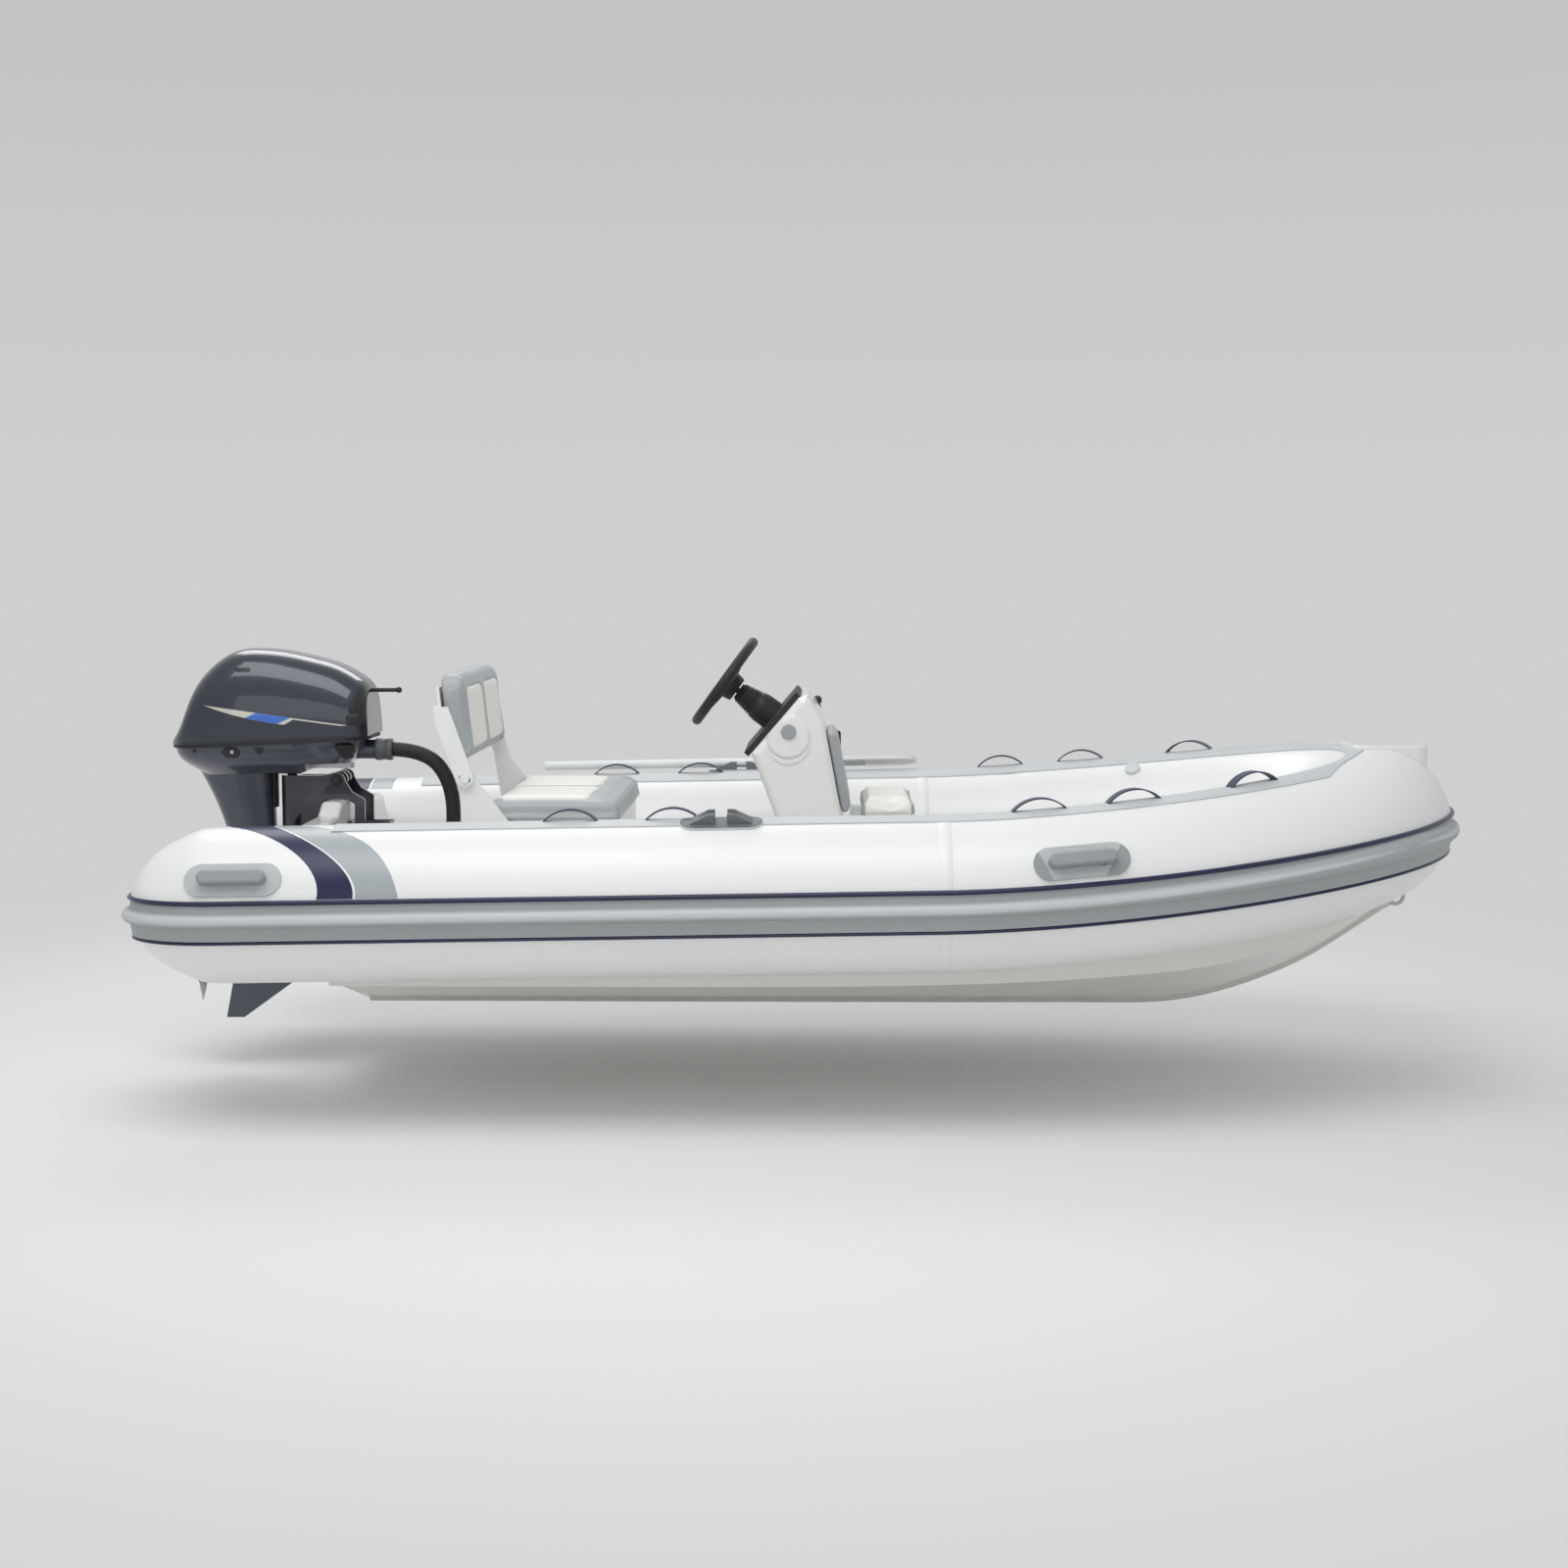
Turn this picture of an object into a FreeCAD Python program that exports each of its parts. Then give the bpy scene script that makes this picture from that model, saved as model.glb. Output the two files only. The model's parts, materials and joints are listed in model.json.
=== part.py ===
import FreeCAD, Part
import math
import os
from FreeCAD import Placement, Rotation, Vector

# Rigid inflatable boat, 3.6 m, with console, bench and a tilted-up outboard.
# +X forward, starboard -Y, +Z up. The origin lies on the centreline at the waterline, at midship. Millimetres.

# Buoyancy collar
tube_radius = 206.5
tube_half_spacing = 685.0
cone_start_x = -1574.0
cone_length = 262.0
bow_start_x = 300.0
bow_length = 1275.0
bow_fullness = 2.15
tube_height_aft = 187.0
tube_rake = 0.018
sheer_rise = 110.0
sheer_power = 1.6

# Skins and wraps on the collar
fender_half_height = 53.0
fender_skin = 4.0
fender_ridge = 24.0
fender_ridge_half = 19.0
fender_ridge_crown = 7.0
fender_drop = 14.0
fender_bed = 40.0
fender_wrap_deg = 100.0
patch_skin = 3.0
soft_gap = 0.3
patch_start_x = -1290.0
patch_end_x = 1405.0
patch_slant_deg = 65.0
patch_inboard_deg = 24.0
patch_outboard_deg = 18.0

# Hull
keel_depth = 190.0
hull_aft_x = -1345.0
hull_floor = 60.0
chine_flat = 36.0
chine_flat_drop = 5.0
hull_edge_inboard = 100.0
hull_edge_drop = 125.0
stem_x = 1690.0
hull_stations = 16
keel_guard_width = 42.0
keel_guard_thickness = 8.0
deck_thickness = 15.0
deck_gap = 1.0
locker_aft_x = 985.0
locker_front_x = 1400.0
locker_height = 262.0
locker_radius = 14.0

# Stations from transom to stem: place along the hull, keel rise, chine half-breadth and chine height
station_shares = (
    (0.000, 0.000, 0.840, -0.235),
    (0.250, 0.000, 0.840, -0.235),
    (0.500, 0.003, 0.830, -0.215),
    (0.650, 0.012, 0.790, -0.150),
    (0.780, 0.060, 0.680, -0.020),
    (0.870, 0.470, 0.480, 0.220),
    (0.945, 1.120, 0.240, 0.560),
    (0.985, 1.560, 0.100, 0.840),
)

# Transom
transom_aft_x = -1450.0
transom_thickness = 60.0
transom_top = 405.0
transom_shoulder = 372.0
transom_seat_half = 150.0
transom_half = 520.0
transom_foot = -20.0
transom_round = 14.0
knee_length = 210.0
knee_height = 300.0
knee_thickness = 36.0
knee_y = 300.0

# Hardware on the collar
handle_span = 150.0
handle_rise = 34.0
handle_strap = 3.5
handle_width = 32.0
handle_x = (-673.0, -404.0, 565.0, 820.0, 1151.0)
lift_pad_length = 250.0
lift_pad_height = 88.0
lift_pad_skin = 6.0
lift_grip_length = 176.0
lift_grip_width = 36.0
lift_grip_rise = 36.0
lift_grip_bar = 15.0
lift_x = (-1521.0, 630.0)
lift_angle_deg = 64.0
clip_x = -275.0
clip_angle_deg = 15.0
clip_pad_length = 214.0
clip_pad_width = 74.0
clip_pad_skin = 9.0
clip_block = 66.0
clip_gap = 32.0
clip_height = 34.0
clip_width = 44.0
valve_radius = 24.0
valve_height = 9.0
valve_x = (1000.0, -1180.0)
valve_angle_deg = 34.0
paddle_shaft_radius = 14.0
paddle_aft_x = -911.0
paddle_front_x = 290.0
paddle_blade_length = 330.0
paddle_blade_width = 130.0
paddle_blade_thickness = 12.0
paddle_lift = 17.0
nose_plate_aft_x = 1500.0
nose_plate_front_x = 1712.0
nose_plate_half = 120.0
nose_plate_top = 568.0
nose_plate_depth = 80.0
nose_plate_round = 40.0
nose_plate_edge = 8.0
eye_x = 1652.0
eye_z = 120.0
eye_radius = 22.0
eye_bar = 5.5

# Console
console_half = 235.0
console_wall = 8.0
console_round = 22.0
console_aft_foot_x = -120.0
console_waist_x = -138.0
console_waist_z = 344.0
dash_low_x = -217.0
dash_low_z = 552.0
dash_high_x = -84.0
dash_high_z = 708.0
console_crown_x = -58.0
console_crown_z = 718.0
console_brow_x = -12.0
console_brow_z = 636.0
console_front_foot_x = 95.0
dash_thickness = 16.0
dash_half = 205.0
dash_overhang = 14.0
dash_round = 10.0
relief_radius = 60.0
relief_height = 3.0
relief_x = -112.0
relief_z = 583.0
cap_radius = 21.0
cap_height = 6.0
cap_rise = 31.0
console_pad_length = 240.0
console_pad_half = 185.0
console_pad_thickness = 30.0
console_pad_drop = 26.0
console_pad_round = 12.0

# Helm
column_angle_deg = 36.0
wheel_x = -287.0
wheel_z = 735.0
wheel_rim_radius = 138.0
wheel_grip_radius = 14.5
wheel_hub_radius = 30.0
wheel_hub_depth = 26.0
wheel_spoke_width = 30.0
wheel_spoke_thickness = 9.0
wheel_dish = 16.0
helm_base_radius = 44.0
helm_base_depth = 52.0
helm_boot_radius = 31.0
helm_boot_waist = 24.0
helm_boot_ribs = 4
helm_pin_radius = 9.0
running_clearance = 0.3
wheel_gap = 6.0

# Remote control on the port side of the console
remote_length = 90.0
remote_height = 120.0
remote_depth = 36.0
remote_lever_length = 130.0
remote_lever_radius = 7.0
remote_knob_radius = 14.0

# Seat in front of the console
front_seat_x = 60.0
front_seat_length = 190.0
front_seat_half = 200.0
front_seat_top = 420.0
front_cushion_thickness = 55.0
front_seat_round = 18.0
front_cushion_round = 20.0

# Helm bench
bench_aft_x = -985.0
bench_front_x = -590.0
bench_half = 360.0
bench_top = 368.0
bench_wall = 30.0
bench_arch_radius = 120.0
cushion_thickness = 68.0
cushion_aft_x = -955.0
cushion_front_x = -570.0
cushion_round = 20.0
pivot_x = -1000.0
pivot_z = 495.0
pivot_boss = 24.0
pivot_pin = 8.0
pivot_head = 13.0
pivot_head_height = 5.0
arm_thickness = 14.0
arm_gap = 6.0
arm_foot = 130.0
back_top_z = 788.0
back_low_z = 540.0
back_thickness = 74.0
back_round = 22.0
back_half = 352.0
back_lean = 0.11
back_behind_pivot = 60.0
back_link_width = 44.0
back_board = 8.0
back_foot = 15.0
back_waist_share = 0.42

# Outboard
tilt_x = -1420.0
tilt_z = 460.0
tilt_tube_radius = 13.0
tilt_boss_radius = 23.0
clamp_y = 60.0
clamp_thickness = 13.0
clamp_aft_reach = 74.0
clamp_front_reach = 50.0
clamp_screw_reach = 105.0
clamp_foot_z = 175.0
clamp_jaw_z = 300.0
clamp_screw_z = 325.0
clamp_screw_radius = 8.0
clamp_pad_radius = 20.0
clamp_pad_thickness = 8.0
clamp_handle_length = 66.0
clamp_handle_radius = 5.0
clamp_web = 30.0
clamp_neck = 22.0
steer_x = -1565.0
swivel_radius = 31.0
swivel_pin_radius = 14.0
swivel_low_z = 130.0
swivel_top_z = 470.0
swivel_cheek = 20.0
swivel_cheek_y = 32.0
yoke_gap = 6.0
yoke_low = 34.0
arm_low_z = 491.0
arm_reach = 183.0
gland_reach = 235.0
arm_width = 40.0
arm_bar = 14.0
arm_notch_start = 65.0
arm_notch_gap = 6.0
head_z = 580.0
head_pitch_deg = 2.6
head_half = 172.0
seal_thickness = 9.0
seal_lip = 4.0
cowl_wall = 7.0
# Cowl sections from aft to front: place, half-width and height, as shares of the half-width of the powerhead
cowl_shares = (
    (-1.900, 0.46, 0.050),
    (-1.790, 0.70, 0.230),
    (-1.620, 0.86, 0.590),
    (-1.470, 0.93, 0.925),
    (-1.270, 0.98, 1.185),
    (-0.985, 1.00, 1.410),
    (-0.690, 1.00, 1.525),
    (-0.380, 0.99, 1.530),
    (0.010, 0.98, 1.478),
    (0.400, 0.96, 1.380),
    (0.800, 0.92, 1.255),
    (1.080, 0.87, 1.120),
    (1.300, 0.80, 0.965),
    (1.400, 0.72, 0.860),
    (1.430, 0.64, 0.770),
)
pan_shares = (
    (-1.900, 1.330, 0.985, 0.000),
    (-1.830, 1.220, 0.920, -0.200),
    (-1.640, 1.080, 0.780, -0.360),
    (-1.450, 0.980, 0.620, -0.490),
)
casing_top_z = 512.0
# Leg sections from the top down: height, aft edge and front edge from the steering axis, half-width
leg_low_z = 62.0
leg_shares = (
    (1.00, -0.630, -0.115, 0.180),
    (0.56, -0.430, -0.108, 0.115),
    (0.00, -0.375, -0.090, 0.078),
)
plate_z = 48.0
plate_thickness = 9.0
plate_half = 88.0
plate_aft_x = -1868.0
plate_front_x = -1598.0
shaft_z = -85.0
torpedo_radius = 43.0
torpedo_aft_x = -1797.0
torpedo_nose_x = -1498.0
skeg_thickness = 9.0
skeg_low_z = -248.0
skeg_aft_x = -1772.0
skeg_toe_x = -1720.0
skeg_root_x = -1524.0
skeg_heel_x = -1740.0
prop_shaft_radius = 8.5
prop_hub_radius = 37.0
prop_hub_length = 82.0
prop_radius = 112.0
prop_pitch = 230.0
prop_blades = 3
prop_chord = 92.0
prop_blade_thickness = 7.0
prop_nut_radius = 15.0
prop_gap = 5.0
block_half = 108.0
block_aft_share = 1.05
block_front_share = 0.90
block_height = 150.0
hook_z = 718.0
hook_length = 70.0
hook_radius = 6.0
gland_radius = 28.0
gland_length = 62.0
gland_z = 545.0
hose_radius = 21.5
hose_route = ((-1170.0, 0.0, 541.0), (-1098.0, 0.0, 448.0), (-1092.0, 0.0, 300.0), (-1130.0, 0.0, 195.0))
hose_foot_x = -1130.0
deck_gland_radius = 34.0
deck_gland_height = 22.0
hose_foot_gap = 2.0
overrun = 400.0

deck_top = hull_floor + deck_thickness
transom_front_x = transom_aft_x + transom_thickness
up = Vector(0, 0, 1)
ahead = Vector(1, 0, 0)
across = Vector(0, 1, 0)


def box(x0, x1, y0, y1, z0, z1):
    return Part.makeBox(x1 - x0, y1 - y0, z1 - z0, Vector(x0, y0, z0))


def cylinder(radius, start, end):
    return Part.makeCylinder(radius, end.sub(start).Length, start, end.sub(start))


def prism_y(points, y0, y1):
    """Side outline in X and Z, extruded across the boat."""
    wire = Part.makePolygon([Vector(x, y0, z) for x, z in points] + [Vector(points[0][0], y0, points[0][1])])
    return Part.Face(wire).extrude(Vector(0, y1 - y0, 0))


def mirrored(shape):
    return shape.mirror(Vector(0, 0, 0), across)


def joined(shapes):
    shape = shapes[0]
    for other in shapes[1:]:
        shape = shape.fuse(other)
    return shape.removeSplitter()


def rounded(shape, radius, chosen):
    edges = [e for e in shape.Edges if chosen(e)]
    return shape.makeFillet(radius, edges)


def runs_along(edge, direction):
    if len(edge.Vertexes) != 2:
        return False
    line = edge.Vertexes[1].Point.sub(edge.Vertexes[0].Point)
    return line.Length > 0 and abs(line.dot(direction)) > 0.999 * line.Length


def save(name, shape):
    shape.exportStep("parts/" + name + ".step")


# Path of the collar's centreline
def tube_z(x):
    sheer = max(0, (x - bow_start_x) / bow_length)
    return tube_height_aft + tube_rake * (x - cone_start_x) + sheer_rise * sheer ** sheer_power


def bow_angle(x):
    return math.asin(min(1, max(0, (x - bow_start_x) / bow_length)) ** (bow_fullness / 2))


def bow_point(angle, side):
    x = bow_start_x + bow_length * math.sin(angle) ** (2 / bow_fullness)
    y = tube_half_spacing * max(0, math.cos(angle)) ** (2 / bow_fullness)
    return Vector(x, side * y, tube_z(x))


def collar_point(x, side):
    if x <= bow_start_x:
        return Vector(x, side * tube_half_spacing, tube_z(x))
    return bow_point(bow_angle(x), side)


def collar_frame(x, side, angle_deg, lift):
    """Placement on the tube's skin: local X along the tube, local Z out of the skin at that angle from the top, outboard."""
    step = tube_radius / 100
    along = collar_point(x + step, side).sub(collar_point(x - step, side)).normalize()
    level = along.cross(up).normalize().multiply(-side)
    level = level if level.y * side > 0 else level.multiply(-1)
    top = level.cross(along) if side < 0 else along.cross(level)
    turn = math.radians(angle_deg)
    out = Vector(top).multiply(math.cos(turn)).add(Vector(level).multiply(math.sin(turn)))
    place = collar_point(x, side).add(Vector(out).multiply(tube_radius + lift))
    beside = out.cross(along)
    m = FreeCAD.Matrix(along.x, beside.x, out.x, place.x, along.y, beside.y, out.y, place.y, along.z, beside.z, out.z, place.z, 0, 0, 0, 1)
    return Placement(m)


def spline(points, start=None, end=None, scaled=True):
    """Curve through the points; unscaled end tangents keep a symmetric set of points symmetric."""
    curve = Part.BSplineCurve()
    if start is None:
        curve.interpolate(Points=points)
    else:
        curve.interpolate(Points=points, InitialTangent=start, FinalTangent=end, Scale=scaled)
    return curve.toShape()


def sweep(path, profile, turn_axis):
    shell = Part.BRepOffsetAPI.MakePipeShell(Part.Wire([path]))
    shell.setBiNormalMode(turn_axis)
    shell.add(profile)
    shell.build()
    shell.makeSolid()
    return shell.shape()


# Collar: two straight tubes with rounded cones and the bow tube that joins them
straight = (bow_start_x - cone_start_x) * math.hypot(1, tube_rake)


def side_tube(side):
    cone = Part.Ellipse(Vector(-cone_length, 0, 0), Vector(0, 0, tube_radius), Vector(0, 0, 0))
    tip, crown = Vector(-cone_length, 0, 0), Vector(0, 0, tube_radius)
    bulge = Vector(-cone_length * math.sqrt(0.5), 0, tube_radius * math.sqrt(0.5))
    edge = spline([tip, Vector(-cone_length * math.cos(math.pi / 8), 0, tube_radius * math.sin(math.pi / 8)), bulge,
                   Vector(-cone_length * math.sin(math.pi / 8), 0, tube_radius * math.cos(math.pi / 8)), crown], up, ahead)
    rim, heart = Vector(straight, 0, tube_radius), Vector(straight, 0, 0)
    outline = Part.Wire([edge, Part.makeLine(crown, rim), Part.makeLine(rim, heart), Part.makeLine(heart, tip)])
    tube = Part.Face(outline).revolve(Vector(0, 0, 0), ahead, 360)
    tube.Placement = Placement(collar_point(cone_start_x, side), Rotation(across, -math.degrees(math.atan(tube_rake))))
    return tube


bow_steps = 7
bow_points = [bow_point(math.pi / 2 * i / bow_steps, -1) for i in range(bow_steps + 1)]
port_points = [bow_point(math.pi / 2 * i / bow_steps, 1) for i in reversed(range(bow_steps))]
collar_path = spline(bow_points + port_points, Vector(1, 0, tube_rake), Vector(-1, 0, -tube_rake), False)
bow_path = collar_path.Curve.toShape(collar_path.FirstParameter, collar_path.Curve.parameter(bow_points[-1]))
collar_axis = Vector(-tube_rake, 0, 1).normalize()
tube_starboard = side_tube(-1)
tube_port = side_tube(1)
tube_bow = sweep(collar_path, Part.Wire([Part.makeCircle(tube_radius, bow_points[0], Vector(1, 0, tube_rake))]), collar_axis)
tubes = [tube_starboard, tube_port, tube_bow]


def clear_of_tubes(shape):
    for tube in tubes:
        if tube.BoundBox.intersect(shape.BoundBox):
            shape = shape.cut(tube)
    return shape


def largest(shape):
    return max(shape.Solids, key=lambda solid: solid.Volume)


# Fender: a banded strake with a raised ridge, wrapped from one stern cone round the bow to the other
def fender_point(share, side):
    """From 0 at the cone's tip to 1 at the stem."""
    wrap = math.radians(fender_wrap_deg)
    if share < 0.12:
        turn = wrap * (1 - share / 0.12)
        x = cone_start_x - cone_length * math.sin(turn)
        y = tube_half_spacing + tube_radius * math.cos(turn)
        return Vector(x, side * y, tube_z(x) - fender_drop)
    if share < 0.50:
        x = cone_start_x + (bow_start_x - cone_start_x) * (share - 0.12) / 0.38
        return Vector(x, side * (tube_half_spacing + tube_radius), tube_z(x) - fender_drop)
    angle = math.pi / 2 * (share - 0.50) / 0.50
    here = bow_point(angle, side)
    small = math.pi / 2 / 1000
    next_one = bow_point(min(angle + small, math.pi / 2), side)
    last_one = bow_point(max(angle - small, small / 2), side)
    along = next_one.sub(last_one)
    out = Vector(along.y, -along.x, 0).normalize()
    if out.y * side < 0:
        out = out.multiply(-1)
    if share >= 1:
        out = Vector(1, 0, 0)
    return here.add(out.multiply(tube_radius)).add(Vector(0, 0, -fender_drop))


fender_steps = 44
half_path = [fender_point(i / fender_steps, -1) for i in range(fender_steps + 1)]
fender_path = spline(half_path)


def fender_profile():
    begin = fender_path.valueAt(fender_path.FirstParameter)
    along = fender_path.tangentAt(fender_path.FirstParameter)
    out = Vector(along.y, -along.x, 0).normalize()
    skin = tube_radius + fender_skin

    def at(u, v):
        return begin.add(Vector(out).multiply(u)).add(Vector(0, 0, v))

    edge_u = math.sqrt(skin ** 2 - fender_half_height ** 2) - tube_radius
    foot_u = math.sqrt(skin ** 2 - fender_ridge_half ** 2) - tube_radius
    crest = fender_ridge - fender_ridge_crown
    shoulder = fender_ridge_half * 0.72
    low, high = [at(-fender_bed, -fender_half_height), at(edge_u, -fender_half_height)], [at(edge_u, fender_half_height), at(-fender_bed, fender_half_height)]
    corners = low + [at(foot_u, -fender_ridge_half), at(crest, -shoulder)]
    nose = Part.Arc(at(crest, -shoulder), at(fender_ridge, 0), at(crest, shoulder)).toShape()
    rest = [at(crest, shoulder), at(foot_u, fender_ridge_half)] + high + [low[0]]
    edges = [Part.makeLine(a, b) for a, b in zip(corners, corners[1:])] + [nose] + [Part.makeLine(a, b) for a, b in zip(rest, rest[1:])]
    return Part.Wire(edges)


fender_half = largest(clear_of_tubes(sweep(fender_path, fender_profile(), up)))
fender = joined([fender_half, mirrored(fender_half)])


# Wear patches along the tops, each a straight run and a run round the bow that ends in a slanted tip
def patch_profile():
    outer, inner = tube_radius + patch_skin, tube_radius + soft_gap
    edges = []

    def at(radius, turn):
        return bow_points[0].add(Vector(0, -radius * math.sin(turn), 0)).add(Vector(collar_axis).multiply(radius * math.cos(turn)))

    a, c = -math.radians(patch_inboard_deg), math.radians(patch_outboard_deg)
    for radius in (outer, inner):
        edges.append(Part.Arc(at(radius, a), at(radius, (a + c) / 2), at(radius, c)).toShape())
    return Part.Wire([edges[0], Part.makeLine(at(outer, c), at(inner, c)), edges[1], Part.makeLine(at(inner, a), at(outer, a))])


patch_run = Vector(patch_start_x - bow_start_x, 0, (patch_start_x - bow_start_x) * tube_rake)
patch_straight = Part.Face(patch_profile()).extrude(patch_run)
patch_end = collar_point(patch_end_x, -1)
slant = Vector(math.cos(math.radians(patch_slant_deg)), math.sin(math.radians(patch_slant_deg)), 0).multiply(overrun)
tip_ahead, tip_aft = patch_end.add(slant).sub(Vector(0, 0, overrun)), patch_end.sub(slant).sub(Vector(0, 0, overrun))
tip_outline = [tip_ahead, tip_aft, Vector(stem_x + overrun, tip_aft.y, tip_aft.z), Vector(stem_x + overrun, overrun, tip_aft.z), Vector(tip_ahead.x, overrun, tip_aft.z), tip_ahead]
tip_cut = Part.Face(Part.makePolygon(tip_outline)).extrude(Vector(0, 0, overrun * 2))
nose_aft, nose_side = nose_plate_aft_x - soft_gap, nose_plate_half + soft_gap
nose_room = box(nose_aft, nose_plate_front_x, -nose_side, nose_side, nose_plate_top - nose_plate_depth - soft_gap, nose_plate_top)
patch_bow = sweep(bow_path, patch_profile(), collar_axis).cut(tip_cut).cut(nose_room)
patch_starboard = joined([patch_straight, largest(patch_bow)])
wear_patches = Part.makeCompound([patch_starboard, mirrored(patch_starboard)])


# Hull: lofted V bottom with flat chines, its edges bedded in the tubes
def between(share):
    """Hull shape at any place along it, eased between the stations of the table."""
    table = station_shares
    i = max(1, min(len(table) - 1, next((n for n, row in enumerate(table) if row[0] >= share), len(table) - 1)))
    low, high = table[i - 1], table[i]
    before, after = table[max(i - 2, 0)], table[min(i + 1, len(table) - 1)]
    span = high[0] - low[0]
    t = (share - low[0]) / span
    values = []
    for k in (1, 2, 3):
        slope = (high[k] - low[k]) / span
        start = slope if low is before else (high[k] - before[k]) / (high[0] - before[0])
        end = slope if high is after else (after[k] - low[k]) / (after[0] - low[0])
        values.append(low[k] * (1 - t) ** 2 * (1 + 2 * t) + high[k] * t ** 2 * (3 - 2 * t) + span * (start * t * (1 - t) ** 2 - end * t ** 2 * (1 - t)))
    return values


def station(share, rise, beam, height):
    x = hull_aft_x + (stem_x - hull_aft_x) * share
    centre = collar_point(min(x, bow_start_x + bow_length), -1)
    keel = keel_depth * (rise - 1)
    chine_y, chine_z = tube_half_spacing * beam, keel_depth * height
    edge_y = max(-centre.y - hull_edge_inboard, chine_y + chine_flat_drop)
    edge_z = max(centre.z - hull_edge_drop, chine_z + chine_flat_drop)
    half = [(chine_y - chine_flat, chine_z), (chine_y, chine_z - chine_flat_drop), (edge_y, edge_z)]
    points = [Vector(x, 0, keel)] + [Vector(x, y, z) for y, z in half] + [Vector(x, -y, z) for y, z in reversed(half)]
    return Part.makePolygon(points + [points[0]])


stem_share = station_shares[-1][0]
hull_form = Part.makeLoft([station(stem_share * i / hull_stations, *between(stem_share * i / hull_stations)) for i in range(hull_stations + 1)], True, False, False, 3)


def between_edges(x0, x1, z0, z1):
    """Block between the hull's bedded edges, in plan as wide as the hull."""
    xs = [x0 + (x1 - x0) * i / hull_stations for i in range(hull_stations + 1)]
    side = [Vector(x, -collar_point(x, -1).y - hull_edge_inboard, z0) for x in xs]
    points = side + [Vector(p.x, -p.y, p.z) for p in reversed(side)]
    return Part.Face(Part.makePolygon(points + [points[0]])).extrude(Vector(0, 0, z1 - z0))


cockpit = box(hull_aft_x - overrun, locker_aft_x, -tube_half_spacing, tube_half_spacing, hull_floor, hull_floor + overrun)
hull = clear_of_tubes(hull_form.cut(cockpit))
hull = largest(hull)

guard_slab = box(hull_aft_x, stem_x, -keel_guard_width / 2, keel_guard_width / 2, -keel_depth - overrun, keel_depth)
keel_guard = hull_form.translated(Vector(0, 0, -keel_guard_thickness)).common(guard_slab).cut(hull_form)
keel_guard = largest(keel_guard)

deck = clear_of_tubes(between_edges(transom_front_x, locker_aft_x, hull_floor, deck_top))
deck = largest(deck)

locker = between_edges(locker_aft_x, locker_front_x, hull_floor, locker_height)
locker = rounded(locker, locker_radius, lambda e: runs_along(e, across) and e.Vertexes[0].X < locker_aft_x + deck_gap and e.Vertexes[0].Z > hull_floor + deck_gap)
locker = clear_of_tubes(locker).cut(hull)
bow_locker = largest(locker)

# Transom with a raised seat for the outboard and knees to the deck
outline = [(-transom_half, transom_foot), (transom_half, transom_foot), (transom_half, transom_shoulder - transom_thickness), (transom_half - transom_thickness, transom_shoulder),
           (transom_seat_half + transom_thickness, transom_shoulder), (transom_seat_half, transom_top), (-transom_seat_half, transom_top),
           (-transom_seat_half - transom_thickness, transom_shoulder), (transom_thickness - transom_half, transom_shoulder), (-transom_half, transom_shoulder - transom_thickness)]
wire = Part.makePolygon([Vector(transom_aft_x, y, z) for y, z in outline] + [Vector(transom_aft_x, *outline[0])])
plate = Part.Face(wire).extrude(Vector(transom_thickness, 0, 0))
plate = rounded(plate, transom_round, lambda e: e.CenterOfMass.z > transom_shoulder - transom_thickness / 2 and not runs_along(e, ahead))
knee = prism_y([(transom_front_x, deck_top), (transom_front_x + knee_length, deck_top), (transom_front_x, knee_height)], knee_y, knee_y + knee_thickness)
foot = box(transom_aft_x, hull_aft_x, -transom_half, transom_half, transom_foot, hull_floor)
transom = clear_of_tubes(joined([plate, foot, knee, mirrored(knee)])).cut(hull).cut(deck)
transom = largest(transom)


# Straps, lifting handles, clips and valves on the collar
def strap(x, side):
    rise = handle_rise
    radius = ((handle_span / 2) ** 2 + rise ** 2) / (2 * rise)
    drop = radius - rise
    outer = Part.makeCylinder(radius, handle_width, Vector(0, -handle_width / 2, -drop), across)
    inner = Part.makeCylinder(radius - handle_strap, handle_width, Vector(0, -handle_width / 2, -drop), across)
    keep = box(-handle_span / 2, handle_span / 2, -handle_width, handle_width, -handle_strap * 2, rise * 2)
    band = outer.cut(inner).common(keep)
    band.Placement = collar_frame(x, side, 0, 0)
    return clear_of_tubes(band).cut(patch_starboard)


straps = [strap(x, -1) for x in handle_x]
strap_solids = [largest(s) for s in straps]
grab_handles = Part.makeCompound(strap_solids + [mirrored(s) for s in strap_solids])


def stadium(length, height, z0, z1):
    half, radius = length / 2 - height / 2, height / 2
    body = box(-half, half, -radius, radius, z0, z1)
    ends = [Part.makeCylinder(radius, z1 - z0, Vector(x, 0, z0), up) for x in (-half, half)]
    return joined([body] + ends)


def lift_handle(x, side):
    pad = stadium(lift_pad_length, lift_pad_height, -tube_radius / 4, lift_pad_skin)
    drum = Part.makeCylinder(tube_radius + lift_pad_skin, lift_pad_length * 2, Vector(-lift_pad_length, 0, -tube_radius), ahead)
    pad = pad.common(drum)
    grip = stadium(lift_grip_length, lift_grip_width, 0, lift_grip_rise)
    grip = rounded(grip, lift_grip_bar / 2, lambda e: e.CenterOfMass.z > lift_grip_rise * 0.9)
    window = box(-lift_grip_length / 2 + lift_grip_bar * 2, lift_grip_length / 2 - lift_grip_bar * 2, -lift_grip_width, lift_grip_width, lift_pad_skin, lift_grip_rise - lift_grip_bar)
    handle = joined([pad, grip.cut(window)])
    handle.Placement = collar_frame(x, side, lift_angle_deg, 0)
    return largest(clear_of_tubes(handle))


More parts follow.
